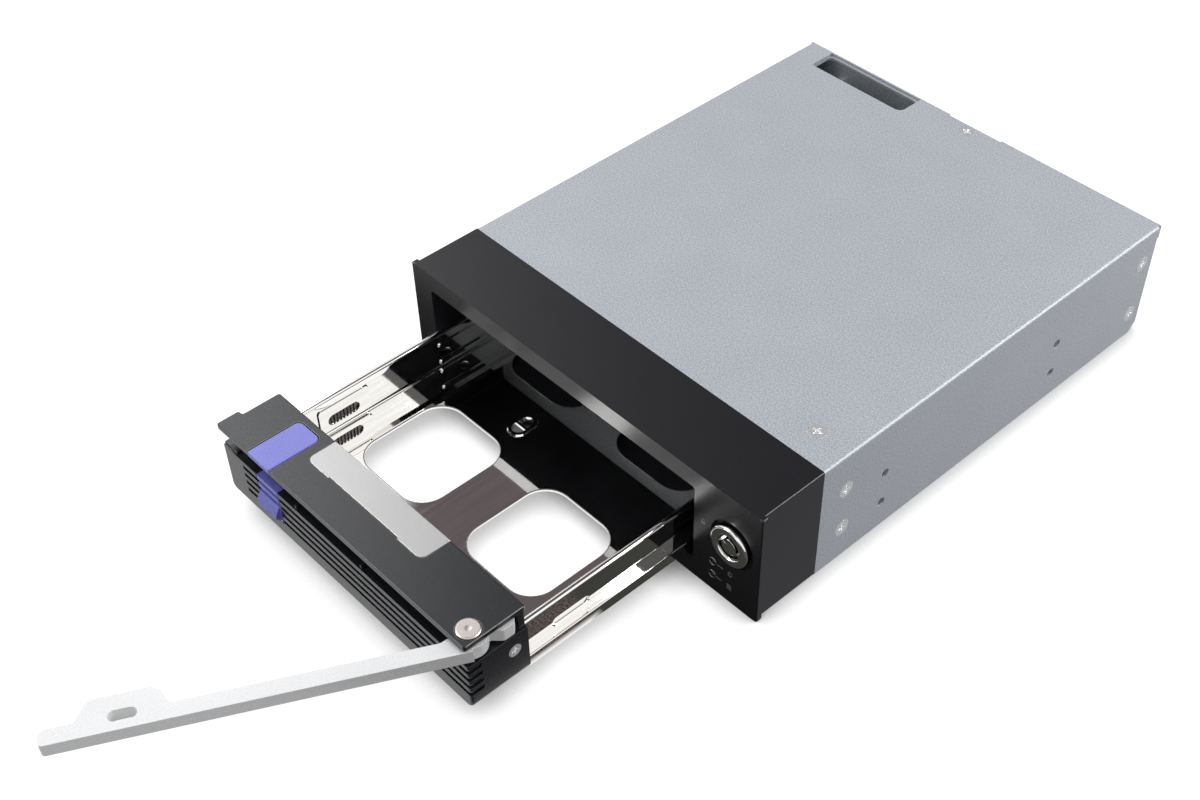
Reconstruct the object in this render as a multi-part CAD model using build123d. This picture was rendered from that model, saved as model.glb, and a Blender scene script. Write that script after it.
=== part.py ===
from build123d import *
import math
import os

# Hard drive mobile rack for one 3.5 inch drive in a 5.25 inch bay, in millimetres.
# X runs to the right of someone who faces the bezel, Y runs to the rear, Z runs up.
# The origin is the centre of the cage's underside. The tray is drawn pulled out.

# Cage: a folded sheet box of the standard bay size
CAGE_WIDTH = 146.0
CAGE_HEIGHT = 41.5
CAGE_DEPTH = 153.4
SHEET = 1.0
CAGE_BEND = 1.2
SEAT = 0.05

# Standard side holes of a 5.25 inch device
SIDE_HOLE_PITCH_Y = 79.25
SIDE_HOLE_PITCH_Z = 11.84
SIDE_HOLE_LOW_Z = 10.0
SIDE_HOLE_FIRST = 27.2
SIDE_HOLE_RADIUS = 1.5
SIDE_COLLAR_RADIUS = 2.4
SIDE_COLLAR_DEPTH = 1.1

# Countersunk cage screws
SCREW_RADIUS = 1.5
SCREW_HEAD_RADIUS = 2.8
SCREW_HEAD_DEPTH = 1.0
SCREW_LENGTH = 4.4
SCREW_FIT = 0.03
CROSS_LENGTH = 3.0
CROSS_WIDTH = 0.62
CROSS_DEPTH = 0.7
FRONT_SCREW_Y = 10.2
FRONT_SCREW_LOW_Z = 12.0
FRONT_SCREW_HIGH_Z = 27.6
REAR_SCREW_INSET = 5.4
REAR_SCREW_LOW_Z = 9.5
REAR_SCREW_HIGH_Z = 29.7
TOP_SCREW_SIDE_INSET = 12.1
TOP_SCREW_REAR_X = -0.5
TOP_SCREW_REAR_INSET = 3.2

# Rear window in the top sheet, and the rear panel behind it
WINDOW_SIDE_INSET = 9.7
WINDOW_WIDTH = 40.2
WINDOW_DEPTH = 10.4
WINDOW_CORNER = 2.6
WINDOW_CORNER_SMALL = 1.0
WINDOW_LEDGE_CORNER = 2.2
PANEL_PEEK = 1.2
PANEL_FLANGE = 12.0
PANEL_BEND = 0.9
PANEL_EAR = 4.8
LEDGE_CUT = 0.8
PANEL_NOTCH_LEFT = 10.5
PANEL_NOTCH_RIGHT = 11.3
VENT_WIDTH = 2.6
VENT_HEIGHT = 22.0
VENT_COUNT = 12
VENT_INSET = 10.0
VENT_END_INSET = 19.0

# Bezel moulding
BEZEL_DEPTH = 24.8
BEZEL_WALL = 2.0
BEZEL_EDGE = 0.6
FACE_THICKNESS = 2.5
FLANGE_WIDTH = 148.0
FLANGE_THICKNESS = 2.0
FLANGE_EDGE = 0.4
LUG_LENGTH = 15.0
LUG_LOW_Z = 8.0
LUG_HIGH_Z = 32.0
LUG_GAP = 0.1
RIGHT_LUG_THICKNESS = 5.6
LEFT_LUG_THICKNESS = 3.4
TOP_LUG_REACH = 5.4
TOP_LUG_LOW_Z = 34.0

# Tray opening in the bezel, and the tray centred in it
OPENING_LEFT_MARGIN = 7.7
OPENING_RIGHT_MARGIN = 24.1
OPENING_LOW_Z = 6.9
OPENING_HIGH_Z = 35.2
OPENING_CORNER = 1.0
TRAY_OUT = 78.6

# Folded tray pan
TRAY_LENGTH = 147.0
TRAY_SIDE_GAP = 1.7
RAIL_STEP = 2.3
PAN_LOW_Z = 8.0
SHOULDER_Z = 12.2
WALL_HIGH_Z = 23.1
HEM_THICKNESS = 2.0
HEM_HEIGHT = 2.6
PAN_MARGIN = 12.7
PAN_STRIP = 15.8
PAN_WINDOW_LENGTH = 35.0
PAN_WINDOW_PITCH_Y = 57.8
PAN_WINDOW_FIRST = 29.8
PAN_WINDOW_CORNER = 8.5
DRIVE_HOLE_INSET = 5.475
DRIVE_HOLE_PITCH_Y = 44.45
DRIVE_HOLE_REAR = 41.3
DRIVE_HOLE_RADIUS = 1.9
SIDE_RIB_HEIGHT = 1.7
SIDE_RIB_DEPTH = 0.5
SIDE_RIB_FRONT = 55.2
SIDE_RIB_LENGTH = 62.0
SIDE_RIB_HIGH_Z = 17.8
SIDE_RIB_LOW_Z = 11.0
WALL_BEND = 1.0
EMBOSS_DEPTH = 0.6
FRAME_NEAR = 9.4
FRAME_FAR = 28.3
FRAME_LOW_Z = 10.3
FRAME_HIGH_Z = 19.7
FRAME_CORNER = 1.5
GRIP_CENTRE = 18.4
GRIP_LENGTH = 11.6
GRIP_HEIGHT = 3.8
GRIP_Z = 13.9
GRIP_DEPTH = 0.9
GRIP_RIB = 0.45
GRIP_RIB_COUNT = 8
DISH_CENTRE = 16.6
DISH_LENGTH = 13.4
DISH_HEIGHT = 3.6
DISH_Z = 14.7
RING_SHIFT = 14.2
RING_FROM_BLOCK = 56.8
RING_LENGTH = 10.3
RING_WIDTH = 6.9
RING_WALL = 1.3
RING_BAR = 0.9
RING_HEIGHT = 0.6

# Runners in the cage
RUN_GAP = 0.3
RUNNER_SHEET = 1.2
RUNNER_LIP = 2.0
RUNNER_FOOT = 5.5
RUNNER_INSET_FRONT = 1.5
RUNNER_LENGTH = 141.0
RIVET_RADIUS = 1.2
RIVET_HEAD_RADIUS = 1.9
RIVET_COUNT = 3
RIVET_END_INSET = 18.0

# Finned front block of the tray
BLOCK_DEPTH = 20.0
BLOCK_LOW_Z = 7.2
BLOCK_HIGH_Z = 24.6
BLOCK_WALL = 2.2
BLOCK_CORNER = 2.2
FIN_PITCH = 3.0
FIN_GROOVE = 1.5
FIN_GROOVE_DEPTH = 1.3
FIN_COUNT = 4
FIN_TOP_Z = 23.0
FIN_LEFT_INSET = 9.6
FIN_WRAP = 4.4
REAR_WALL = 2.0
LAND_LENGTH = 6.2
LAND_HEIGHT = 0.6
REST_RIB_WIDTH = 0.8
REST_RIB_LENGTH = 4.0
REST_RIB_HEIGHT = 0.8
REST_RIB_NEAR = 15.5
REST_RIB_FAR = 45.4
BLOCK_SCREW_INSET = 4.7
BLOCK_SCREW_DROP = 6.0
BLOCK_SCREW_HEAD = 2.1
BLOCK_SCREW_SHANK = 1.1

# Cover plate over the block
COVER_LOW_Z = 30.3
COVER_THICKNESS = 1.7
COVER_SIDE_INSET = 0.8
COVER_EDGE = 0.4
COVER_OVERHANG = 0.4
COVER_CORNER = 0.8
TAB_OUT = 1.9
TAB_LENGTH = 7.6

# Label plate let into the cover
LABEL_LEFT_INSET = 27.6
LABEL_RIGHT_INSET = 30.5
LABEL_LENGTH = 10.0
LABEL_STEP = 0.5
LABEL_STEP_INSET = 10.2
LABEL_CORNER = 2.2
LABEL_THICKNESS = 0.8
LABEL_PROUD = 0.2
LABEL_GAP = 0.15

# Swing lever and its pin
PIN_SIDE_INSET = 4.8
PIN_INSET = 4.8
PIN_RADIUS = 2.0
PIN_HEAD_RADIUS = 3.45
PIN_HEAD_SINK = 0.8
PIN_HEAD_PROUD = 0.6
PIN_DIMPLE = 1.1
PIN_FIT = 0.05
LEVER_LOW_Z = 25.8
LEVER_HIGH_Z = 30.0
LEVER_END_GAP = 4.0
LEVER_FRONT = 5.7
LEVER_BAR = 4.9
LEVER_HUB = 4.9
LEVER_OPEN = 62.3
LEVER_EDGE = 0.35
PAD_HALF = 10.0
PAD_RISE = 6.1
LEVER_SLOT_LENGTH = 7.2
LEVER_SLOT_WIDTH = 3.4
TOOTH_REACH = 12.4
TOOTH_FRONT = 1.2
TOOTH_REAR = 5.0

# Release button
BUTTON_INSET = 18.7
BUTTON_WIDTH = 10.3
BUTTON_LENGTH = 17.9
BUTTON_CORNER = 2.0
BUTTON_GAP = 0.25
SLOT_WALL = 1.4
BUTTON_TRAVEL = 1.0
GRIP_SHIFT = 2.2
GRIP_WIDTH = 10.0
GRIP_LOW_Z = 12.2
WEB_INSET = 12.0
WEB_THICKNESS = 2.0
THUMB_OUT = 1.7
NUB_HEIGHT = 0.15
SPRING_RADIUS = 1.6
SPRING_WIRE = 0.45
SPRING_TURNS = 6

# Tubular lock in the bezel
LOCK_SIDE_INSET = 9.6
LOCK_Z = 23.9
LOCK_WELL_RADIUS = 8.0
LOCK_WELL_DEPTH = 1.5
LOCK_RING_RADIUS = 6.85
LOCK_RING_PROUD = 1.6
LOCK_RING_EDGE = 0.7
LOCK_BODY_RADIUS = 6.0
LOCK_BODY_LENGTH = 8.3
LOCK_BORE_RADIUS = 4.3
LOCK_RUN_FIT = 0.06
KEYWAY_OUTER = 3.8
KEYWAY_INNER = 2.7
KEYWAY_NOTCH = 1.2
LOCK_NOTCH_ANGLE = 40.0
KEYWAY_DEPTH = 5.0
LOCK_NUT_FLATS = 14.0
LOCK_NUT_LENGTH = 3.0
CAM_THICKNESS = 2.0
CAM_REACH = 11.9
CAM_WIDTH = 5.0
CAM_HUB = 4.6
CAM_LOCKED = 152.0
LOCK_TURN = 90.0

# Indicators in the bezel
LENS_SIDE_INSET = 16.4
LENS_LOW_Z = 6.3
LENS_PITCH = 5.3
LENS_RADIUS = 1.1
LENS_FIT = 0.05
LENS_LENGTH = 5.6
LED_RADIUS = 1.5
LED_LENGTH = 2.6
INDICATOR_BOARD_SHIFT = 0.3
INDICATOR_BOARD_WIDTH = 9.0
INDICATOR_BOARD_HEIGHT = 11.6
BOARD_THICKNESS = 1.6
POST_RADIUS = 1.0

# Backplane and its sockets
BACKPLANE_MARGIN = 9.0
BACKPLANE_LOW_Z = 3.0
BACKPLANE_HIGH_Z = 35.0
BACKPLANE_GAP = 7.5
DRIVE_SOCKET_SHIFT = -19.8
DRIVE_SOCKET_LENGTH = 41.0
DRIVE_SOCKET_HEIGHT = 5.8
DRIVE_SOCKET_DEPTH = 6.0
DRIVE_SOCKET_RISE = 4.6
DATA_FROM_EDGE = 32.5
DATA_LENGTH = 14.6
POWER_FROM_EDGE = 13.0
POWER_LENGTH = 20.8
REAR_SOCKET_HEIGHT = 5.6
REAR_SOCKET_Z = 24.0
BLADE_LENGTH_DATA = 8.4
BLADE_LENGTH_POWER = 17.0
BLADE_THICKNESS = 1.2
SOCKET_WALL = 1.2
STANDOFF_FLATS = 5.0
STANDOFF_INSET = 6.0
HEADER_INSET = 5.0
STANDOFF_LOW_Z = 12.5
STANDOFF_HIGH_Z = 31.0
BOARD_SCREW_RADIUS = 1.25
BOARD_SCREW_HEAD_RADIUS = 2.4
BOARD_SCREW_HEAD = 1.6
BOARD_SCREW_REACH = 4.0

# Flexible strip from the indicators to the backplane
FLEX_THICKNESS = 1.0
FLEX_HEIGHT = 5.6
FLEX_WALL_GAP = 6.0
FLEX_BEND = 8.0
HEADER_DEPTH = 3.0
HEADER_WIDTH = 3.4

# Planes that the sizes above fix
SEAM_Y = -CAGE_DEPTH / 2
REAR_Y = CAGE_DEPTH / 2
FACE_Y = SEAM_Y - BEZEL_DEPTH
FACE_BACK_Y = FACE_Y + FACE_THICKNESS
PANEL_Y = REAR_Y + PANEL_PEEK
PANEL_INNER_Y = PANEL_Y - SHEET
SIDE_X = CAGE_WIDTH / 2
SIDE_INNER_X = SIDE_X - SHEET
TOP_INNER_Z = CAGE_HEIGHT - SHEET
BLOCK_FRONT_Y = FACE_Y - TRAY_OUT
BLOCK_REAR_Y = BLOCK_FRONT_Y + BLOCK_DEPTH
TRAY_REAR_Y = BLOCK_REAR_Y + TRAY_LENGTH
PAN_TOP_Z = PAN_LOW_Z + SHEET
PIN_Y = BLOCK_FRONT_Y + PIN_INSET
COVER_HIGH_Z = COVER_LOW_Z + COVER_THICKNESS
OPENING_LEFT = OPENING_LEFT_MARGIN - SIDE_X
OPENING_RIGHT = SIDE_X - OPENING_RIGHT_MARGIN
BACKPLANE_REAR_Y = PANEL_INNER_Y - BACKPLANE_GAP
BACKPLANE_FRONT_Y = BACKPLANE_REAR_Y - BOARD_THICKNESS

# Places across the cage, all from its width
TRAY_X = (OPENING_LEFT + OPENING_RIGHT) / 2
OPENING_HALF = (OPENING_RIGHT - OPENING_LEFT) / 2
RAIL_HALF = OPENING_HALF - TRAY_SIDE_GAP
WALL_HALF = RAIL_HALF - RAIL_STEP
COVER_HALF = RAIL_HALF - COVER_SIDE_INSET
PAN_WINDOW_WIDTH = WALL_HALF - PAN_MARGIN - PAN_STRIP / 2
PAN_WINDOW_PITCH_X = PAN_WINDOW_WIDTH + PAN_STRIP
LABEL_LEFT = TRAY_X - COVER_HALF + LABEL_LEFT_INSET
LABEL_RIGHT = TRAY_X + COVER_HALF - LABEL_RIGHT_INSET
BUTTON_X = TRAY_X - COVER_HALF + BUTTON_INSET
PIN_X = TRAY_X + RAIL_HALF - PIN_SIDE_INSET
LEVER_LENGTH = 2 * RAIL_HALF - LEVER_END_GAP
LEVER_SLOT_FROM_PIN = PIN_X - BUTTON_X
PAD_NEAR = LEVER_SLOT_FROM_PIN - PAD_HALF
PAD_FAR = LEVER_SLOT_FROM_PIN + PAD_HALF
WINDOW_LEFT = WINDOW_SIDE_INSET - SIDE_X
WINDOW_RIGHT = WINDOW_LEFT + WINDOW_WIDTH
LOCK_X = SIDE_X - LOCK_SIDE_INSET
LENS_X = SIDE_X - LENS_SIDE_INSET
INDICATOR_BOARD_X = LENS_X + INDICATOR_BOARD_SHIFT
TOP_SCREW_FRONT_X = SIDE_X - TOP_SCREW_SIDE_INSET
BACKPLANE_LEFT = BACKPLANE_MARGIN - SIDE_X
BACKPLANE_RIGHT = SIDE_X - BACKPLANE_MARGIN
STANDOFF_X = BACKPLANE_RIGHT - STANDOFF_INSET
DRIVE_SOCKET_X = TRAY_X + DRIVE_SOCKET_SHIFT
DATA_X = BACKPLANE_LEFT + DATA_FROM_EDGE
POWER_X = BACKPLANE_LEFT + POWER_FROM_EDGE
FLEX_RUN_X = SIDE_INNER_X - FLEX_WALL_GAP


def span(x, y, z):
    """Box between two planes on each axis, each given as a pair."""
    size = [b - a for a, b in (x, y, z)]
    middle = [(a + b) / 2 for a, b in (x, y, z)]
    return Pos(*middle) * Box(*size)


def along_x(section, x_from, x_to):
    """Extrude a section drawn in Y and Z."""
    return extrude(Plane.YZ.offset(x_from) * section, x_to - x_from)


def along_y(section, y_from, y_to):
    """Extrude a section drawn in X and Z."""
    return extrude(Plane.XZ.offset(-y_to) * section, y_to - y_from)


def along_z(section, z_from, z_to):
    """Extrude an outline drawn in X and Y."""
    return extrude(Plane.XY.offset(z_from) * section, z_to - z_from)


def area(x, y):
    """Rectangle between two pairs of values."""
    return Pos((x[0] + x[1]) / 2, (y[0] + y[1]) / 2) * Rectangle(x[1] - x[0], y[1] - y[0])


def rounded(sketch, radius, pick=None):
    """Round the corners of a sketch, or only those that a test picks."""
    corners = sketch.vertices() if pick is None else sketch.vertices().filter_by(pick)
    return fillet(corners, radius)


def folded_channel(width, height, wall, bend):
    """Section of a folded sheet that is open below, standing on Z zero."""
    outer = area((-width / 2, width / 2), (0, height))
    outer = rounded(outer, bend, lambda v: v.Y > height / 2)
    inner = area((wall - width / 2, width / 2 - wall), (0, height - wall))
    inner = rounded(inner, bend - wall, lambda v: v.Y > height / 2)
    return outer - inner


def screw_places_side():
    """Y and Z of the countersunk screws in one side."""
    rear_y = REAR_Y - REAR_SCREW_INSET
    front_y = SEAM_Y + FRONT_SCREW_Y
    return [
        (front_y, FRONT_SCREW_LOW_Z),
        (front_y, FRONT_SCREW_HIGH_Z),
        (rear_y, REAR_SCREW_LOW_Z),
        (rear_y, REAR_SCREW_HIGH_Z),
    ]


def screw_places_top():
    """X and Y of the countersunk screws in the top."""
    return [
        (TOP_SCREW_FRONT_X, SEAM_Y + FRONT_SCREW_Y),
        (TOP_SCREW_REAR_X, REAR_Y - TOP_SCREW_REAR_INSET),
    ]


def side_hole_places():
    """Y and Z of the four standard threaded holes in one side."""
    places = []
    for row in range(2):
        for column in range(2):
            y = SEAM_Y + SIDE_HOLE_FIRST + column * SIDE_HOLE_PITCH_Y
            places.append((y, SIDE_HOLE_LOW_Z + row * SIDE_HOLE_PITCH_Z))
    return places


def facing_side(side):
    """Plane on the cage's side, its normal pointing out: side is 1 on the right and -1 on the left."""
    return Plane(origin=(side * SIDE_X, 0, 0), x_dir=(0, side, 0), z_dir=(side, 0, 0))


def countersunk_screw(length, head=SCREW_HEAD_RADIUS, shank=SCREW_RADIUS):
    """Screw along local Z, its flat head level with Z zero and its shank below."""
    outline = Polyline(
        (0, 0),
        (head, 0),
        (shank, -SCREW_HEAD_DEPTH),
        (shank, -length + 0.4),
        (shank - 0.4, -length),
        (0, -length),
        close=True,
    )
    screw = revolve(Plane.XZ * make_face(outline), Axis.Z)
    reach = CROSS_LENGTH * head / SCREW_HEAD_RADIUS
    cross = Rectangle(reach, CROSS_WIDTH) + Rectangle(CROSS_WIDTH, reach)
    return screw - extrude(Plane.XY.offset(-CROSS_DEPTH) * cross, CROSS_DEPTH)


def countersink_tool(length, head=SCREW_HEAD_RADIUS, shank=SCREW_RADIUS):
    """Tool that cuts the seat of a countersunk screw, along local Z from Z zero down."""
    top_radius = head + SCREW_FIT
    low_radius = shank + SCREW_FIT
    cone = Pos(0, 0, -SCREW_HEAD_DEPTH / 2) * Cone(low_radius, top_radius, SCREW_HEAD_DEPTH)
    return cone + Pos(0, 0, -length / 2) * Cylinder(low_radius, length)


def on_side(side, y, z):
    """Place on the cage's side at a height and depth, local Z pointing out."""
    return facing_side(side) * Pos(side * y, z, 0)


def cage_shell():
    """Top and both sides, folded from one sheet."""
    section = folded_channel(CAGE_WIDTH, CAGE_HEIGHT, SHEET, CAGE_BEND)
    shell = along_y(section, SEAM_Y, REAR_Y)
    for side in (-1, 1):
        for y, z in side_hole_places():
            collar_length = SHEET + SIDE_COLLAR_DEPTH
            collar = Pos(0, 0, -collar_length / 2) * Cylinder(SIDE_COLLAR_RADIUS, collar_length)
            shell += on_side(side, y, z) * collar
    for side in (-1, 1):
        for y, z in side_hole_places():
            shell -= on_side(side, y, z) * Cylinder(SIDE_HOLE_RADIUS, 8 * SHEET)
        for y, z in screw_places_side():
            shell -= on_side(side, y, z) * countersink_tool(2 * SHEET)
    for x, y in screw_places_top():
        shell -= Pos(x, y, CAGE_HEIGHT) * countersink_tool(2 * SHEET)
    window = area((WINDOW_LEFT, WINDOW_RIGHT), (REAR_Y - WINDOW_DEPTH, REAR_Y + WINDOW_DEPTH))
    window = rounded(window, WINDOW_CORNER, lambda v: v.Y < REAR_Y and v.X > WINDOW_LEFT + 1)
    window = rounded(window, WINDOW_CORNER_SMALL, lambda v: v.Y < REAR_Y and v.X < WINDOW_LEFT + 1)
    shell -= along_z(window, TOP_INNER_Z - SHEET, CAGE_HEIGHT + SHEET)
    corner = Polyline((REAR_Y - 3, 0), (REAR_Y, 3), (REAR_Y, 0), close=True)
    shell -= along_x(make_face(corner), -CAGE_WIDTH, CAGE_WIDTH)
    return shell


def base_plate():
    """Bottom sheet with short flanges folded up inside the sides."""
    width = 2 * SIDE_INNER_X - 2 * SEAT
    flange = LUG_LOW_Z - 1.5
    section = mirror(folded_channel(width, flange, SHEET, CAGE_BEND), about=Plane.XZ)
    plate = along_y(Pos(0, flange) * section, SEAM_Y, REAR_Y)
    corner = Polyline((REAR_Y - 3, 0), (REAR_Y, 3), (REAR_Y, 0), close=True)
    plate -= along_x(make_face(corner), -CAGE_WIDTH, CAGE_WIDTH)
    for side in (-1, 1):
        for x, y in rivet_places(side):
            plate -= Pos(x, y, 0) * rivet_tool()
    return plate


def panel_profile():
    """Side view of the rear panel, in Y and Z: wall, bend level with the top, ledge under the top."""
    front_y = PANEL_Y - PANEL_FLANGE
    low_z = SHEET + SEAT
    ledge_z = TOP_INNER_Z - SEAT
    crest_z = CAGE_HEIGHT - 2 * SEAT
    outline = Polyline(
        (PANEL_INNER_Y, low_z),
        (PANEL_Y, low_z),
        (PANEL_Y, crest_z),
        (REAR_Y + SEAT, crest_z),
        (REAR_Y + SEAT, ledge_z),
        (front_y, ledge_z),
        (front_y, ledge_z - SHEET),
        (PANEL_INNER_Y, ledge_z - SHEET),
        close=True,
    )
    return rounded(make_face(outline), PANEL_BEND, lambda v: v.X > PANEL_Y - 0.1 and v.Y > crest_z - 1)


def rear_panel():
    """Rear sheet folded forward at the top and sides, with vents and socket windows."""
    half = SIDE_INNER_X - SEAT
    front_y = PANEL_Y - PANEL_FLANGE
    panel = along_x(panel_profile(), -half, half)
    flange_z = (LUG_LOW_Z - 1, TOP_INNER_Z - SEAT)
    for x in ((-half, SHEET - half), (half - SHEET, half)):
        panel += span(x, (front_y, PANEL_Y), flange_z)
    rear_edges = panel.edges().filter_by(Axis.Z).filter_by(lambda e: e.center().Y > PANEL_Y - 0.1)
    panel = fillet(rear_edges, PANEL_BEND / 2)
    ears = area((SEAT - SIDE_X, SIDE_X - SEAT), (CAGE_HEIGHT - PANEL_EAR, CAGE_HEIGHT - 2 * SEAT))
    panel += along_y(ears, REAR_Y + SEAT, PANEL_Y - PANEL_BEND / 2)
    ledge_rear = REAR_Y - LEDGE_CUT
    ledge = area((WINDOW_LEFT, WINDOW_RIGHT), (front_y - 9, ledge_rear))
    ledge = rounded(ledge, WINDOW_LEDGE_CORNER, lambda v: v.Y > ledge_rear - 1)
    panel -= along_z(ledge, TOP_INNER_Z - 3, CAGE_HEIGHT)
    notch = (TOP_SCREW_REAR_X - PANEL_NOTCH_LEFT, TOP_SCREW_REAR_X + PANEL_NOTCH_RIGHT)
    panel -= span(notch, (REAR_Y - SEAT, PANEL_Y + 1), (TOP_INNER_Z - 2, CAGE_HEIGHT))
    for side in (-1, 1):
        for y, z in screw_places_side()[2:]:
            panel -= on_side(side, y, z) * Cylinder(SCREW_RADIUS + SCREW_FIT, 4 * SCREW_LENGTH)
    rear_screw = screw_places_top()[1]
    hole = Pos(rear_screw[0], rear_screw[1], CAGE_HEIGHT)
    panel -= hole * Cylinder(SCREW_RADIUS + SCREW_FIT, 3 * SCREW_LENGTH)
    first_x = WINDOW_RIGHT + VENT_INSET
    pitch = (SIDE_INNER_X - VENT_END_INSET - first_x) / (VENT_COUNT - 1)
    vent = SlotOverall(VENT_HEIGHT, VENT_WIDTH, rotation=90)
    for column in range(VENT_COUNT):
        place = Pos(first_x + column * pitch, CAGE_HEIGHT / 2)
        panel -= along_y(place * vent, PANEL_INNER_Y - 1, PANEL_Y + 1)
    for x, length in ((DATA_X, DATA_LENGTH), (POWER_X, POWER_LENGTH)):
        cut = RectangleRounded(length + 0.6, REAR_SOCKET_HEIGHT + 0.6, 0.4)
        panel -= along_y(Pos(x, REAR_SOCKET_Z) * cut, PANEL_INNER_Y - 1, PANEL_Y + 1)
    return panel


def lens_places():
    """X and Z of the two indicators."""
    return [(LENS_X, LENS_LOW_Z), (LENS_X, LENS_LOW_Z + LENS_PITCH)]


def post_places():
    """X and Z of the two posts that carry the indicator board."""
    low_z = LENS_LOW_Z + LENS_PITCH / 2 - 4.6
    high_z = low_z + 9.2
    return [(INDICATOR_BOARD_X + 3.2, low_z), (INDICATOR_BOARD_X - 3.2, high_z)]


def front_bezel():
    """Moulded front: rim, face, tray tunnel, lock seat, indicator holes and screw lugs."""
    body = area((-SIDE_X, SIDE_X), (0, CAGE_HEIGHT))
    bezel = along_y(rounded(body, BEZEL_EDGE), FACE_Y, SEAM_Y)
    rim = area((-FLANGE_WIDTH / 2, FLANGE_WIDTH / 2), (0, CAGE_HEIGHT))
    rim = along_y(rounded(rim, BEZEL_EDGE), FACE_Y, FACE_Y + FLANGE_THICKNESS)
    rim_edges = rim.edges().filter_by(lambda e: e.center().Y < FACE_Y + 0.01)
    bezel += fillet(rim_edges, FLANGE_EDGE)
    hollow = area(
        (BEZEL_WALL - SIDE_X, SIDE_X - BEZEL_WALL),
        (BEZEL_WALL, CAGE_HEIGHT - BEZEL_WALL),
    )
    bezel -= along_y(hollow, FACE_BACK_Y, SEAM_Y + 1)
    tunnel = area((OPENING_LEFT, OPENING_RIGHT), (OPENING_LOW_Z, OPENING_HIGH_Z))
    tunnel = rounded(tunnel, OPENING_CORNER)
    bezel += along_y(offset(tunnel, BEZEL_WALL), FACE_BACK_Y - 1, SEAM_Y)
    bezel -= along_y(tunnel, FACE_Y - 1, SEAM_Y + 1)
    bezel += bezel_lugs()
    for side in (-1, 1):
        for y, z in screw_places_side()[:2]:
            bezel -= on_side(side, y, z) * Cylinder(SCREW_RADIUS + SCREW_FIT, 2 * SCREW_LENGTH + 1)
    front_screw = screw_places_top()[0]
    top_hole = Cylinder(SCREW_RADIUS + SCREW_FIT, 2 * SCREW_LENGTH + 1)
    bezel -= Pos(front_screw[0], front_screw[1], CAGE_HEIGHT) * top_hole
    well = along_y(Pos(LOCK_X, LOCK_Z) * Circle(LOCK_WELL_RADIUS), FACE_Y - 1, FACE_Y + LOCK_WELL_DEPTH)
    body_hole = along_y(Pos(LOCK_X, LOCK_Z) * Circle(LOCK_BODY_RADIUS + SCREW_FIT), FACE_Y, FACE_BACK_Y + 1)
    bezel -= well + body_hole
    for x, z in post_places():
        bezel += along_y(Pos(x, z) * Circle(POST_RADIUS), FACE_BACK_Y - 0.5, indicator_board_y() - SEAT)
    for x, z in lens_places():
        bezel -= along_y(Pos(x, z) * Circle(LENS_RADIUS + LENS_FIT), FACE_Y - 1, FACE_BACK_Y + 1)
    sweep_y = PIN_Y + TRAY_OUT
    aperture = span(
        (OPENING_RIGHT - 1, OPENING_RIGHT + BEZEL_WALL + 1),
        (sweep_y - 3.0, sweep_y + TOOTH_REACH + 1.0),
        (LEVER_LOW_Z - 2 * RUN_GAP, LEVER_HIGH_Z + 3 * RUN_GAP),
    )
    return bezel - aperture


def bezel_lugs():
    """Blocks behind the bezel that the cage screws enter."""
    far_y = SEAM_Y + LUG_LENGTH
    near_y = SEAM_Y - 3
    outer = SIDE_INNER_X - LUG_GAP
    right = area((outer - RIGHT_LUG_THICKNESS, outer), (LUG_LOW_Z, TOP_INNER_Z - LUG_GAP))
    top_lug = (TOP_SCREW_FRONT_X - TOP_LUG_REACH, outer)
    right += area(top_lug, (TOP_LUG_LOW_Z, TOP_INNER_Z - LUG_GAP))
    left = area((-outer, LEFT_LUG_THICKNESS - outer), (LUG_LOW_Z, LUG_HIGH_Z))
    right = rounded(right, CAGE_BEND, lambda v: v.X > outer - 1 and v.Y > TOP_LUG_LOW_Z)
    return along_y(right, near_y, far_y) + along_y(left, near_y, far_y)


def runner_section():
    """Section of one runner: foot, web, shelf below the tray's rail and lip above it."""
    web = RAIL_HALF + RUN_GAP
    shelf_z = PAN_LOW_Z - RUN_GAP
    lip_z = SHOULDER_Z + RUN_GAP
    shelf_in = WALL_HALF - 4.0
    foot_z = SHEET + SEAT
    outline = Polyline(
        (web + RUNNER_FOOT, foot_z),
        (web + RUNNER_FOOT, foot_z + RUNNER_SHEET),
        (web + RUNNER_SHEET, foot_z + RUNNER_SHEET),
        (web + RUNNER_SHEET, lip_z + RUNNER_SHEET),
        (WALL_HALF + RUN_GAP, lip_z + RUNNER_SHEET),
        (WALL_HALF + RUN_GAP, lip_z),
        (web, lip_z),
        (web, shelf_z),
        (shelf_in, shelf_z),
        (shelf_in, shelf_z - RUNNER_SHEET),
        (web, shelf_z - RUNNER_SHEET),
        (web, foot_z),
        close=True,
    )
    return make_face(outline)


def rivet_places(side):
    """X and Y of the rivets through one runner's foot."""
    x = TRAY_X + side * (RAIL_HALF + RUN_GAP + (RUNNER_SHEET + RUNNER_FOOT) / 2)
    first = SEAM_Y + RUNNER_INSET_FRONT + RIVET_END_INSET
    step = (RUNNER_LENGTH - 2 * RIVET_END_INSET) / (RIVET_COUNT - 1)
    return [(x, first + i * step) for i in range(RIVET_COUNT)]


def rivet_tool():
    """Tool that cuts a rivet's flush seat and hole, from Z zero up."""
    seat = Pos(0, 0, 0.35) * Cone(RIVET_HEAD_RADIUS, RIVET_RADIUS, 0.7)
    return seat + Pos(0, 0, 3) * Cylinder(RIVET_RADIUS, 6)


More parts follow.
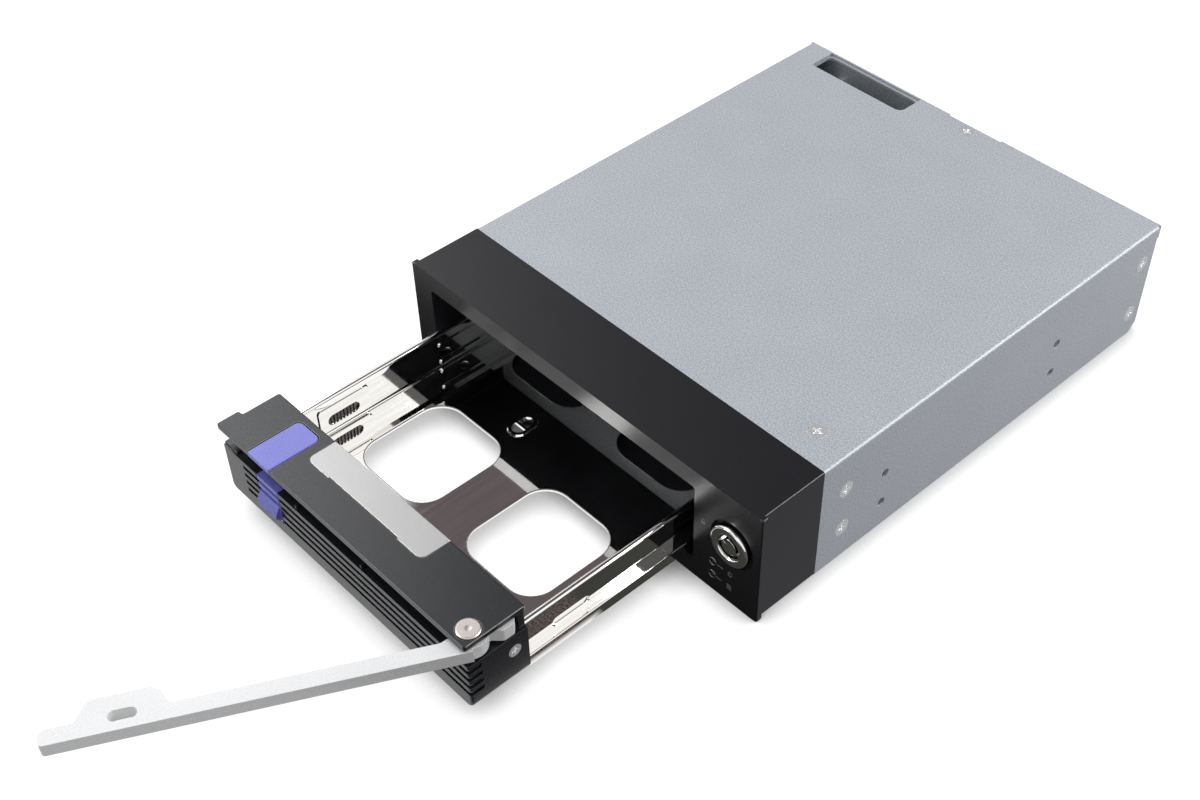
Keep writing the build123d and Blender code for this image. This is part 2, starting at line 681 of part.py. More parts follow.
def guide_runner(side):
    """One runner, right for side 1 and left for side -1."""
    front_y = SEAM_Y + RUNNER_INSET_FRONT
    section = runner_section()
    if side < 0:
        section = mirror(section, about=Plane.YZ)
    runner = along_y(Pos(TRAY_X, 0) * section, front_y, front_y + RUNNER_LENGTH)
    for x, y in rivet_places(side):
        runner -= Pos(x, y, 0) * Pos(0, 0, 3) * Cylinder(RIVET_RADIUS, 6)
    return runner


def rail_rivets():
    """Flush rivets through the base and the runners' feet."""
    top_z = SHEET + SEAT + RUNNER_SHEET
    outline = Polyline(
        (0, 0),
        (RIVET_HEAD_RADIUS - SEAT, 0),
        (RIVET_RADIUS - SEAT, 0.7),
        (RIVET_RADIUS - SEAT, top_z),
        (RIVET_HEAD_RADIUS, top_z),
        (RIVET_HEAD_RADIUS - 0.5, top_z + 0.7),
        (0, top_z + 0.7),
        close=True,
    )
    rivet = revolve(Plane.XZ * make_face(outline), Axis.Z)
    places = rivet_places(-1) + rivet_places(1)
    return Compound([Pos(x, y, 0) * rivet for x, y in places])


def pan_section():
    """Section of the folded tray: floor, stepped rails, walls and hemmed top edges."""
    half = []
    half.append((0, PAN_LOW_Z))
    half.append((WALL_HALF, PAN_LOW_Z))
    half.append((WALL_HALF, SHOULDER_Z - SHEET))
    half.append((RAIL_HALF - SHEET, SHOULDER_Z - SHEET))
    half.append((RAIL_HALF - SHEET, PAN_LOW_Z))
    half.append((RAIL_HALF, PAN_LOW_Z))
    half.append((RAIL_HALF, SHOULDER_Z))
    half.append((WALL_HALF, SHOULDER_Z))
    half.append((WALL_HALF, WALL_HIGH_Z))
    half.append((WALL_HALF - HEM_THICKNESS, WALL_HIGH_Z))
    half.append((WALL_HALF - HEM_THICKNESS, WALL_HIGH_Z - HEM_HEIGHT))
    half.append((WALL_HALF - SHEET, WALL_HIGH_Z - HEM_HEIGHT))
    half.append((WALL_HALF - SHEET, PAN_TOP_Z))
    half.append((0, PAN_TOP_Z))
    face = make_face(Polyline(*half, close=True))
    face = rounded(face, 0.9, lambda v: v.Y > WALL_HIGH_Z - 0.1)
    face = rounded(face, SHEET / 2, lambda v: v.X > RAIL_HALF - 0.1)
    face = rounded(face, WALL_BEND, lambda v: abs(v.X - WALL_HALF + SHEET) < 0.1 and v.Y < SHOULDER_Z)
    return face + mirror(face, about=Plane.YZ)


def pan_windows():
    """Outline of the four large openings in the tray's floor."""
    windows = Sketch()
    first_y = BLOCK_REAR_Y + PAN_WINDOW_FIRST
    for row in range(2):
        for side in (-0.5, 0.5):
            centre = Pos(TRAY_X + side * PAN_WINDOW_PITCH_X, first_y + row * PAN_WINDOW_PITCH_Y)
            windows += centre * RectangleRounded(PAN_WINDOW_WIDTH, PAN_WINDOW_LENGTH, PAN_WINDOW_CORNER)
    return windows


def tray_pan():
    """Folded tray with windows, drive holes, side slots and pressed features."""
    pan = along_y(Pos(TRAY_X, 0) * pan_section(), BLOCK_REAR_Y, TRAY_REAR_Y)
    tongue_front = BLOCK_FRONT_Y + BLOCK_DEPTH / 2
    for side in (-1, 1):
        inner = TRAY_X + side * (WALL_HALF - SHEET)
        outer = TRAY_X + side * WALL_HALF
        x = (min(inner, outer), max(inner, outer))
        pan += span(x, (tongue_front, BLOCK_REAR_Y), (SHOULDER_Z, BLOCK_HIGH_Z - BLOCK_WALL - SEAT))
    pan -= along_z(pan_windows(), PAN_LOW_Z - 1, PAN_TOP_Z + 1)
    for side in (-1, 1):
        for row in range(2):
            x = TRAY_X + side * (WALL_HALF - DRIVE_HOLE_INSET)
            y = TRAY_REAR_Y - DRIVE_HOLE_REAR - row * DRIVE_HOLE_PITCH_Y
            pan -= Pos(x, y, PAN_LOW_Z) * Cylinder(DRIVE_HOLE_RADIUS, 4 * SHEET)
    pan = side_ribs(pan)
    pan = pressed_ring(pan)
    pan = pressed_grips(pan)
    for side in (-1, 1):
        sink = countersink_tool(SCREW_LENGTH + 1, BLOCK_SCREW_HEAD, BLOCK_SCREW_SHANK)
        pan -= block_screw_seat(side) * sink
    return pan


def side_ribs(pan):
    """Two long ribs pressed inward along each wall, the upper one hollow behind."""
    rib_y = BLOCK_REAR_Y + SIDE_RIB_FRONT + SIDE_RIB_LENGTH / 2
    for z in (SIDE_RIB_LOW_Z, SIDE_RIB_HIGH_Z):
        rib = Pos(rib_y, z) * SlotOverall(SIDE_RIB_LENGTH, SIDE_RIB_HEIGHT)
        for side in (-1, 1):
            inner = Plane.YZ.offset(TRAY_X + side * (WALL_HALF - SHEET))
            pan += extrude(inner * rib, -side * SIDE_RIB_DEPTH, taper=30)
    groove = Pos(rib_y, SIDE_RIB_HIGH_Z) * SlotOverall(SIDE_RIB_LENGTH - 0.6, SIDE_RIB_HEIGHT - 0.6)
    for side in (-1, 1):
        outer = Plane.YZ.offset(TRAY_X + side * WALL_HALF)
        pan -= extrude(outer * groove, -side * SIDE_RIB_DEPTH)
    return pan


def pressed_ring(pan):
    """Oblong opening in the floor with a raised rim and a bar across it."""
    place = Pos(TRAY_X - RING_SHIFT, BLOCK_REAR_Y + RING_FROM_BLOCK)
    outer = SlotOverall(RING_LENGTH, RING_WIDTH, rotation=90)
    inner = offset(outer, -RING_WALL)
    pan += extrude(Plane.XY.offset(PAN_TOP_Z) * (place * outer), RING_HEIGHT, taper=25)
    pan -= along_z(place * inner, PAN_LOW_Z - 1, PAN_TOP_Z + RING_HEIGHT + 1)
    bar = place * Rectangle(RING_WIDTH - RING_WALL, RING_BAR)
    return pan + along_z(bar, PAN_LOW_Z, PAN_TOP_Z)


def pressed_grips(pan):
    """Near the front: a framed and ribbed grip on the left wall, a long dish on the right wall."""
    frame_y = (BLOCK_REAR_Y + FRAME_NEAR, BLOCK_REAR_Y + FRAME_FAR)
    frame = rounded(area(frame_y, (FRAME_LOW_Z, FRAME_HIGH_Z)), FRAME_CORNER)
    inner_left = TRAY_X - WALL_HALF + SHEET
    pan += extrude(Plane.YZ.offset(inner_left - 0.1) * frame, EMBOSS_DEPTH + 0.1, taper=25)
    field_x = inner_left + EMBOSS_DEPTH
    y = BLOCK_REAR_Y + GRIP_CENTRE
    grip = Pos(y, GRIP_Z) * SlotOverall(GRIP_LENGTH, GRIP_HEIGHT)
    pan -= along_x(grip, field_x - GRIP_DEPTH, field_x + SHEET)
    pitch = (GRIP_LENGTH - GRIP_HEIGHT / 2) / GRIP_RIB_COUNT
    for i in range(GRIP_RIB_COUNT):
        rib_y = y + (i - (GRIP_RIB_COUNT - 1) / 2) * pitch
        rib = area((rib_y - GRIP_RIB / 2, rib_y + GRIP_RIB / 2), (GRIP_Z - GRIP_HEIGHT, GRIP_Z + GRIP_HEIGHT))
        pan += along_x(rib & grip, field_x - GRIP_DEPTH, field_x - GRIP_DEPTH / 3)
    outer_right = TRAY_X + WALL_HALF
    centre = Pos(BLOCK_REAR_Y + DISH_CENTRE, DISH_Z)
    dish = centre * SlotOverall(DISH_LENGTH, DISH_HEIGHT)
    bump = centre * SlotOverall(DISH_LENGTH + 0.8, DISH_HEIGHT + 0.8)
    pan += extrude(Plane.YZ.offset(outer_right - SHEET + 0.1) * bump, -EMBOSS_DEPTH - 0.1, taper=20)
    return pan - extrude(Plane.YZ.offset(outer_right) * dish, -EMBOSS_DEPTH, taper=30)


def block_screw_seat(side):
    """Place of the screw on one side of the block, local Z pointing out."""
    place = Pos(TRAY_X + side * RAIL_HALF, BLOCK_REAR_Y - BLOCK_SCREW_INSET, BLOCK_HIGH_Z - BLOCK_SCREW_DROP)
    return place * Rot(0, side * 90, 0)


def fin_groove_zs():
    """Low edge of each groove between the fins."""
    return [FIN_TOP_Z - FIN_GROOVE - i * FIN_PITCH for i in range(FIN_COUNT)]


def tray_front():
    """Finned front block: hollow behind, with the lever's recess above and the button's slot."""
    left = TRAY_X - RAIL_HALF
    right = TRAY_X + RAIL_HALF
    section = area((left, right), (BLOCK_LOW_Z, BLOCK_HIGH_Z))
    section = rounded(section, BLOCK_CORNER, lambda v: v.Y < BLOCK_HIGH_Z - 1)
    block = along_y(section, BLOCK_FRONT_Y, BLOCK_REAR_Y)
    front_edges = block.edges().filter_by(lambda e: e.center().Y < BLOCK_FRONT_Y + 0.01)
    front_edges = front_edges.filter_by(lambda e: e.center().Z < BLOCK_HIGH_Z - 0.01)
    block = fillet(front_edges, 0.8)
    land_z = (BLOCK_HIGH_Z - 1, BLOCK_HIGH_Z + LAND_HEIGHT)
    block += span((left, left + LAND_LENGTH), (BLOCK_FRONT_Y + 0.8, BLOCK_REAR_Y), land_z)
    cover_left = TRAY_X - COVER_HALF + 0.4
    cover_right = TRAY_X + COVER_HALF - 0.4
    rear_wall_z = (BLOCK_HIGH_Z - 1, COVER_LOW_Z)
    block += span((cover_left, cover_right), (BLOCK_REAR_Y - REAR_WALL, BLOCK_REAR_Y), rear_wall_z)
    cavity_x = (TRAY_X - WALL_HALF - SEAT, TRAY_X + WALL_HALF + SEAT)
    cavity = area(cavity_x, (PAN_LOW_Z, BLOCK_HIGH_Z - BLOCK_WALL))
    block -= along_y(cavity, BLOCK_FRONT_Y + 2 * BLOCK_WALL, BLOCK_REAR_Y + 1)
    pin_boss = Pos(PIN_X, PIN_Y) * Circle(PIN_RADIUS + 2.0)
    block += along_z(pin_boss, PAN_LOW_Z - 0.1, LEVER_LOW_Z - RUN_GAP)
    pin_hole = Cylinder(PIN_RADIUS + PIN_FIT, 2 * (BLOCK_HIGH_Z - BLOCK_LOW_Z - 3))
    block -= Pos(PIN_X, PIN_Y, BLOCK_HIGH_Z) * pin_hole
    block = cut_fins(block, left, right)
    for x in (BUTTON_X + REST_RIB_NEAR, BUTTON_X + REST_RIB_FAR):
        rib_x = (x - REST_RIB_WIDTH / 2, x + REST_RIB_WIDTH / 2)
        rib_y = (BLOCK_FRONT_Y + 0.6, BLOCK_FRONT_Y + 0.6 + REST_RIB_LENGTH)
        block += span(rib_x, rib_y, (BLOCK_HIGH_Z - 0.5, BLOCK_HIGH_Z + REST_RIB_HEIGHT))
    block = button_slot(block)
    for side in (-1, 1):
        block -= block_screw_seat(side) * countersink_tool(SCREW_LENGTH, BLOCK_SCREW_HEAD, BLOCK_SCREW_SHANK)
    return block


def cut_fins(block, left, right):
    """Grooves across the front that turn the right corner and stop short on the left."""
    front = BLOCK_FRONT_Y - 1
    outline = Polyline(
        (left + FIN_LEFT_INSET, front),
        (left + FIN_LEFT_INSET, BLOCK_FRONT_Y + FIN_GROOVE_DEPTH),
        (right - FIN_GROOVE_DEPTH, BLOCK_FRONT_Y + FIN_GROOVE_DEPTH),
        (right - FIN_GROOVE_DEPTH, BLOCK_FRONT_Y + FIN_WRAP),
        (right + 1, BLOCK_FRONT_Y + FIN_WRAP + 0.5),
        (right + 1, front),
        close=True,
    )
    for z in fin_groove_zs():
        block -= along_z(make_face(outline), z, z + FIN_GROOVE)
    return block


def grip_span():
    """Left and right of the button's grip."""
    centre = BUTTON_X + GRIP_SHIFT
    return (centre - GRIP_WIDTH / 2, centre + GRIP_WIDTH / 2)


def button_slot(block):
    """Open slot for the button with closed walls round it, and a shelf for its spring."""
    x = grip_span()
    walls = (x[0] - BUTTON_GAP - SLOT_WALL, x[1] + BUTTON_GAP + SLOT_WALL)
    back_y = button_back_y() + BUTTON_GAP + SLOT_WALL
    block += span(walls, (BLOCK_FRONT_Y + BLOCK_WALL, back_y), (BLOCK_LOW_Z + 1, BLOCK_HIGH_Z))
    slot = (x[0] - BUTTON_GAP, x[1] + BUTTON_GAP)
    low_z = GRIP_LOW_Z - RUN_GAP
    block -= span(slot, (BLOCK_FRONT_Y - 3, button_back_y() + BUTTON_GAP), (low_z, spring_top_z()))
    block -= span(slot, (BLOCK_FRONT_Y - 3, web_y()[1] + BUTTON_GAP), (low_z, BLOCK_HIGH_Z + 1))
    return block


def web_y():
    """Front and back of the web that joins the button's pad to its grip."""
    front = BLOCK_FRONT_Y + WEB_INSET
    return (front, front + WEB_THICKNESS)


def button_back_y():
    """Back end of the button's spring foot."""
    return web_y()[1] + 2 * SPRING_RADIUS + 0.8


def spring_top_z():
    """Underside of the block's top wall, which the button's spring pushes on."""
    return BLOCK_HIGH_Z - BLOCK_WALL


def release_button():
    """Pad in the cover's notch, web behind the lever, grip in the block's front, spring foot."""
    pad_x = (BUTTON_X - BUTTON_WIDTH / 2, BUTTON_X + BUTTON_WIDTH / 2)
    pad = area(pad_x, (BLOCK_FRONT_Y, BLOCK_FRONT_Y + BUTTON_LENGTH))
    pad = rounded(pad, BUTTON_CORNER, lambda v: v.Y > BLOCK_FRONT_Y + 1)
    button = along_z(pad, COVER_LOW_Z, COVER_HIGH_Z)
    top_edges = button.edges().filter_by(lambda e: e.center().Z > COVER_HIGH_Z - 0.01)
    button = fillet(top_edges, 0.3)
    button += along_x(grip_section(), *grip_span())
    web = area(web_y(), (BLOCK_HIGH_Z - 1, COVER_LOW_Z + 0.6))
    button += along_x(web, grip_span()[0], pad_x[1])
    nub_place = Pos(PIN_X - LEVER_SLOT_FROM_PIN, BLOCK_FRONT_Y + PIN_INSET - 1.3)
    nub = nub_place * SlotOverall(LEVER_SLOT_LENGTH - 1.6, LEVER_SLOT_WIDTH - 1.2)
    button += along_z(nub, COVER_LOW_Z - NUB_HEIGHT, COVER_LOW_Z)
    thumb = grip_span()
    button += along_x(thumb_section(), thumb[0] + 0.3, thumb[1] - 0.3)
    return button


def grip_section():
    """Side view of the button below its pad, in Y and Z, with stepped ridges at the front."""
    face = BLOCK_FRONT_Y
    web = web_y()
    shelf_z = BLOCK_HIGH_Z - 3.2
    foot_z = GRIP_LOW_Z + 1.6
    points = [(web[1], BLOCK_HIGH_Z), (face, BLOCK_HIGH_Z)]
    for z in fin_groove_zs()[:2]:
        points += [(face, z + FIN_GROOVE), (face + 0.9, z + FIN_GROOVE), (face + 0.9, z), (face, z)]
    points += [(face, GRIP_LOW_Z), (button_back_y(), GRIP_LOW_Z), (button_back_y(), foot_z)]
    points += [(face + 3.0, foot_z), (face + 3.0, shelf_z), (web[1], shelf_z)]
    return make_face(Polyline(*points, close=True))


def thumb_section():
    """Side view of the thumb lip low on the grip, in Y and Z."""
    top_z = fin_groove_zs()[1]
    low_z = GRIP_LOW_Z + 0.6
    outline = Polyline(
        (BLOCK_FRONT_Y + 0.5, top_z),
        (BLOCK_FRONT_Y - 0.1, top_z),
        (BLOCK_FRONT_Y - THUMB_OUT, low_z + 2.8),
        (BLOCK_FRONT_Y - THUMB_OUT, low_z + 1.8),
        (BLOCK_FRONT_Y + 0.5, low_z),
        close=True,
    )
    return make_face(outline)


def button_spring():
    """Coil between the button's foot and the block's top wall."""
    low_z = GRIP_LOW_Z + 1.6 + SPRING_WIRE / 2 + SEAT
    height = spring_top_z() - SPRING_WIRE / 2 - SEAT - low_z
    path = Helix(pitch=height / SPRING_TURNS, height=height, radius=SPRING_RADIUS - SPRING_WIRE / 2)
    section = Plane(origin=path @ 0, z_dir=path % 0) * RegularPolygon(SPRING_WIRE / 2, 6)
    coil = sweep(section, path=path, is_frenet=True)
    centre_x = BUTTON_X + GRIP_SHIFT
    centre_y = web_y()[1] + 0.3 + SPRING_RADIUS
    return Pos(centre_x, centre_y, low_z) * coil


def cover_outline():
    """Outline of the cover plate with its side tab, in X and Y."""
    left = TRAY_X - COVER_HALF
    right = TRAY_X + COVER_HALF
    rear = BLOCK_REAR_Y + COVER_OVERHANG
    outline = area((left, right), (BLOCK_FRONT_Y, rear))
    outline += area((left - TAB_OUT, left + 1), (BLOCK_FRONT_Y, BLOCK_FRONT_Y + TAB_LENGTH))
    return fillet(outline.vertices(), COVER_CORNER)


def label_outline(grow):
    """Outline of the label plate, or of its pocket when grown."""
    rear = BLOCK_REAR_Y + COVER_OVERHANG
    front = rear - LABEL_LENGTH
    plate = area((LABEL_LEFT, LABEL_RIGHT), (front, rear))
    plate = rounded(plate, LABEL_CORNER, lambda v: v.Y < rear - 1)
    middle = (LABEL_LEFT + LABEL_STEP_INSET, LABEL_RIGHT - LABEL_STEP_INSET)
    plate -= area(middle, (front - 1, front + LABEL_STEP))
    return offset(plate, grow) if grow else plate


def tray_cover():
    """Cover plate: notch for the button, pocket for the label, seat for the pin's head."""
    cover = along_z(cover_outline(), COVER_LOW_Z, COVER_HIGH_Z)
    top_edges = cover.edges().filter_by(lambda e: e.center().Z > COVER_HIGH_Z - 0.01)
    cover = fillet(top_edges, COVER_EDGE)
    notch_x = (BUTTON_X - BUTTON_WIDTH / 2 - BUTTON_GAP, BUTTON_X + BUTTON_WIDTH / 2 + BUTTON_GAP)
    notch = area(notch_x, (BLOCK_FRONT_Y - 2, BLOCK_FRONT_Y + BUTTON_LENGTH + BUTTON_GAP))
    notch = rounded(notch, BUTTON_CORNER + BUTTON_GAP, lambda v: v.Y > BLOCK_FRONT_Y + 1)
    cover -= along_z(notch, COVER_LOW_Z - 1, COVER_HIGH_Z + 1)
    pocket_z = COVER_HIGH_Z + LABEL_PROUD - LABEL_THICKNESS
    cover -= along_z(label_outline(LABEL_GAP), pocket_z, COVER_HIGH_Z + 1)
    cover -= Pos(PIN_X, PIN_Y, COVER_LOW_Z) * Cylinder(PIN_RADIUS + PIN_FIT, 6)
    sink = Pos(PIN_X, PIN_Y) * Circle(PIN_HEAD_RADIUS + 0.2)
    return cover - along_z(sink, COVER_HIGH_Z - PIN_HEAD_SINK, COVER_HIGH_Z + 1)


def label_plate():
    """Silver plate in the cover's pocket, its top edges softened."""
    high_z = COVER_HIGH_Z + LABEL_PROUD
    plate = along_z(label_outline(0), high_z - LABEL_THICKNESS, high_z)
    top_edges = plate.edges().filter_by(lambda e: e.center().Z > high_z - 0.01)
    return fillet(top_edges, 0.2)


def pivot_pin():
    """Headed pin through the cover and the lever into the block."""
    high_z = COVER_HIGH_Z + PIN_HEAD_PROUD
    seat_z = COVER_HIGH_Z - PIN_HEAD_SINK
    low_z = BLOCK_LOW_Z + 3 + SEAT
    outline = Polyline(
        (0, low_z),
        (PIN_RADIUS - 0.4, low_z),
        (PIN_RADIUS, low_z + 0.4),
        (PIN_RADIUS, seat_z),
        (PIN_HEAD_RADIUS, seat_z),
        (PIN_HEAD_RADIUS, high_z - 0.3),
        (PIN_HEAD_RADIUS - 0.35, high_z),
        (PIN_DIMPLE, high_z),
        (0, high_z - 0.2),
        close=True,
    )
    return Pos(PIN_X, PIN_Y, 0) * revolve(Plane.XZ * make_face(outline), Axis.Z)


def lever_outline():
    """Closed lever seen from above, its pin at the origin and its bar along negative X."""
    front = -LEVER_FRONT
    rear = LEVER_BAR - LEVER_FRONT
    points = [(-LEVER_LENGTH, front), (-LEVER_LENGTH, rear - 1.6), (1.2 - LEVER_LENGTH, rear)]
    points += [(-PAD_FAR - 1.8, rear), (-PAD_FAR + 1.2, rear + PAD_RISE - 1.2)]
    points += [(-PAD_FAR + 3.0, rear + PAD_RISE), (-PAD_NEAR - 2.6, rear + PAD_RISE)]
    points += [(-PAD_NEAR - 0.4, rear + PAD_RISE - 1.6), (-PAD_NEAR + 1.4, rear), (0, rear), (0, front)]
    bar = make_face(Polyline(*points, close=True))
    bar = rounded(bar, 1.1, lambda v: v.X < -PAD_NEAR + 3)
    hub = Circle(LEVER_HUB) + area((-7.5, 0), (front, rear))
    neck_points = [(-7.5, rear), (-LEVER_HUB, 0.4), (-2.5, 3.4), (0, 0), (-2, front), (-7.5, front)]
    neck = make_face(Polyline(*neck_points, close=True))
    tooth = Polyline(
        (0, -1.5),
        (LEVER_HUB + 0.6, -TOOTH_FRONT + 0.9),
        (TOOTH_REACH - 3.6, -TOOTH_FRONT),
        (TOOTH_REACH - 0.6, 0.4),
        (TOOTH_REACH, 2.6),
        (TOOTH_REACH - 1.0, TOOTH_REAR - 0.3),
        (TOOTH_REACH - 3.6, TOOTH_REAR),
        (0, 4.4),
        close=True,
    )
    tooth = rounded(make_face(tooth), 1.2, lambda v: v.X > TOOTH_REACH - 5)
    slot = Pos(-LEVER_SLOT_FROM_PIN, -1.3) * SlotOverall(LEVER_SLOT_LENGTH, LEVER_SLOT_WIDTH)
    return bar + hub + neck + tooth - slot - Circle(PIN_RADIUS + PIN_FIT)


def lever():
    """Swing lever in its open position, with a softened top edge."""
    blank = along_z(lever_outline(), LEVER_LOW_Z, LEVER_HIGH_Z)
    return Pos(PIN_X, PIN_Y, 0) * Rot(0, 0, LEVER_OPEN) * blank


def tray_screws():
    """Countersunk screws that hold the block to the tray's walls."""
    screw = countersunk_screw(SCREW_LENGTH, BLOCK_SCREW_HEAD, BLOCK_SCREW_SHANK)
    return Compound([block_screw_seat(side) * screw for side in (-1, 1)])


def side_screws():
    """Countersunk screws in the cage's sides."""
    screws = []
    for side in (-1, 1):
        screws += [on_side(side, y, z) * countersunk_screw(SCREW_LENGTH) for y, z in screw_places_side()]
    return Compound(screws)


def top_screws():
    """Countersunk screws in the cage's top."""
    return Compound([Pos(x, y, CAGE_HEIGHT) * countersunk_screw(SCREW_LENGTH) for x, y in screw_places_top()])


def at_lock(y):
    """Place on the lock's axis, local Z pointing to the front."""
    return Pos(LOCK_X, y, LOCK_Z) * Rot(90, 0, 0)


def ring_seat_y():
    """Floor of the bezel's lock well."""
    return FACE_Y + LOCK_WELL_DEPTH


def lock_housing():
    """Ring and threaded body, bored for the barrel. Local Z zero is the well's floor."""
    proud = LOCK_WELL_DEPTH + LOCK_RING_PROUD
    outline = Polyline(
        (LOCK_BORE_RADIUS, -LOCK_BODY_LENGTH),
        (LOCK_BODY_RADIUS, -LOCK_BODY_LENGTH),
        (LOCK_BODY_RADIUS, 0),
        (LOCK_RING_RADIUS, 0),
        (LOCK_RING_RADIUS, proud),
        (LOCK_BORE_RADIUS + 0.3, proud),
        (LOCK_BORE_RADIUS, proud - 0.3),
        close=True,
    )
    section = rounded(
        make_face(outline),
        LOCK_RING_EDGE,
        lambda v: v.X > LOCK_RING_RADIUS - 0.1 and v.Y > 0.1,
    )
    return at_lock(ring_seat_y()) * revolve(Plane.XZ * section, Axis.Z)


def cam_front_y():
    """Front face of the cam, just behind the lever's tooth when the tray is home."""
    return PIN_Y + TRAY_OUT + TOOTH_REAR + 0.5


def lock_barrel():
    """Turning core: ring keyway with a notched post at the front, square drive at the rear."""
    length = cam_front_y() - ring_seat_y()
    radius = LOCK_BORE_RADIUS - LOCK_RUN_FIT
    front = LOCK_WELL_DEPTH + LOCK_RING_PROUD - 0.3
    core = Pos(0, 0, (front - length) / 2) * Cylinder(radius, front + length)
    keyway = Circle(KEYWAY_OUTER) - Circle(KEYWAY_INNER)
    core -= extrude(Plane.XY.offset(front - KEYWAY_DEPTH) * keyway, KEYWAY_DEPTH + 1)
    half = KEYWAY_NOTCH / 2
    notch = Rot(0, 0, LOCK_NOTCH_ANGLE) * area((-half, half), (KEYWAY_INNER - 1.3, LOCK_BORE_RADIUS - half))
    core -= extrude(Plane.XY.offset(front - KEYWAY_DEPTH) * notch, KEYWAY_DEPTH + 1)
    drive = Pos(0, 0, -length - CAM_THICKNESS / 2) * Box(4.0, 4.0, CAM_THICKNESS)
    tap = Pos(0, 0, -length) * Cylinder(1.0 + SCREW_FIT, 10)
    return at_lock(ring_seat_y()) * (core + drive - tap)


def lock_nut():
    """Nut behind the bezel's face, its flats to the sides."""
    hexagon = RegularPolygon(LOCK_NUT_FLATS / 2, 6, major_radius=False, rotation=30)
    nut = Pos(LOCK_X, LOCK_Z) * (hexagon - Circle(LOCK_BODY_RADIUS + SCREW_FIT))
    return along_y(nut, FACE_BACK_Y, FACE_BACK_Y + LOCK_NUT_LENGTH)


def lock_cam():
    """Flat cam on the barrel's square drive, shown unlocked."""
    arm = SlotCenterToCenter(CAM_REACH - CAM_WIDTH / 2, CAM_WIDTH)
    arm = Pos((CAM_REACH - CAM_WIDTH / 2) / 2, 0) * arm
    blank = Circle(CAM_HUB) + arm
    turned = Rot(0, 0, CAM_LOCKED - LOCK_TURN) * blank - Rectangle(4.0 + 2 * SCREW_FIT, 4.0 + 2 * SCREW_FIT)
    return along_y(Pos(LOCK_X, LOCK_Z) * turned, cam_front_y(), cam_front_y() + CAM_THICKNESS)


def cam_screw():
    """Small screw that holds the cam on the barrel."""
    back_y = cam_front_y() + CAM_THICKNESS
    head = along_y(Circle(2.6), back_y, back_y + 1.3)
    head -= along_y(Rectangle(3.0, 0.6) + Rectangle(0.6, 3.0), back_y + 0.7, back_y + 2)
    shank = along_y(Circle(1.0), back_y - 4.4, back_y)
    return Pos(LOCK_X, 0, LOCK_Z) * (head + shank)


def indicator_board_y():
    """Front face of the indicator board."""
    return FACE_Y + LENS_LENGTH + LED_LENGTH + 0.6


def indicator_lenses():
    """Light pipes in the bezel's face, their tips slightly domed."""
    tip = Pos(0, 0, -LENS_LENGTH / 2) * Cylinder(LENS_RADIUS, LENS_LENGTH)
    tip = fillet(tip.edges().filter_by(lambda e: e.center().Z > -0.01), 0.5)
    return Compound([Pos(x, FACE_Y + 0.3, z) * Rot(90, 0, 0) * tip for x, z in lens_places()])


def indicator_leds():
    """Lamps on the indicator board, behind the light pipes."""
    lamp = Pos(0, 0, LED_LENGTH / 2) * Cylinder(LED_RADIUS, LED_LENGTH)
    lamp = fillet(lamp.edges().filter_by(lambda e: e.center().Z > LED_LENGTH - 0.01), 0.8)
    return Compound([Pos(x, indicator_board_y(), z) * Rot(90, 0, 0) * lamp for x, z in lens_places()])


def indicator_board():
    """Small board on two posts behind the bezel's face."""
    middle_z = LENS_LOW_Z + LENS_PITCH / 2
    outline = Pos(INDICATOR_BOARD_X, middle_z) * Rectangle(INDICATOR_BOARD_WIDTH, INDICATOR_BOARD_HEIGHT)
    front = indicator_board_y()
    return along_y(outline, front, front + BOARD_THICKNESS)


def header_places():
    """Y span and X of the cable's headers on the indicator board and the backplane."""
    front = indicator_board_y() + BOARD_THICKNESS
    return [
        (INDICATOR_BOARD_X, front, front + HEADER_DEPTH),
        (BACKPLANE_RIGHT - HEADER_INSET, BACKPLANE_FRONT_Y - HEADER_DEPTH, BACKPLANE_FRONT_Y),
    ]


def flex_z():
    """Low and high edge of the flexible strip, which stands on the bezel's floor."""
    low_z = BEZEL_WALL + SEAT
    return (low_z, low_z + FLEX_HEIGHT)


def flex_headers():
    """Plastic headers at both ends of the flexible strip."""
    headers = []
    for x, near, far in header_places():
        shell = area((x - HEADER_WIDTH / 2, x + HEADER_WIDTH / 2), (flex_z()[0] + SEAT, flex_z()[1] + 0.5))
        headers.append(along_y(shell, near, far))
    return Compound(headers)


def indicator_flex():
    """Flexible circuit strip standing on edge, from header to header along the cage's right side."""
    start, end = header_places()
    points = [
        (start[0], start[2]),
        (start[0], start[2] + 5),
        (FLEX_RUN_X, start[2] + 17),
        (FLEX_RUN_X, end[1] - 17),
        (end[0], end[1] - 5),
        (end[0], end[1]),
    ]
    route = FilletPolyline(*points, radius=FLEX_BEND)
    strip = trace(route, FLEX_THICKNESS)
    return along_z(strip, *flex_z())


def standoff_places():
    """X and Z of the board's four standoffs."""
    return [(x, z) for x in (-STANDOFF_X, STANDOFF_X) for z in (STANDOFF_LOW_Z, STANDOFF_HIGH_Z)]


def backplane_board():
    """Board across the rear, drilled for its screws."""
    outline = area((BACKPLANE_LEFT, BACKPLANE_RIGHT), (BACKPLANE_LOW_Z, BACKPLANE_HIGH_Z))
    board = along_y(rounded(outline, 1.0), BACKPLANE_FRONT_Y, BACKPLANE_REAR_Y)
    for x, z in standoff_places():
        hole = Pos(x, z) * Circle(BOARD_SCREW_RADIUS + SCREW_FIT)
        board -= along_y(hole, BACKPLANE_FRONT_Y - 1, BACKPLANE_REAR_Y + 1)
    return board


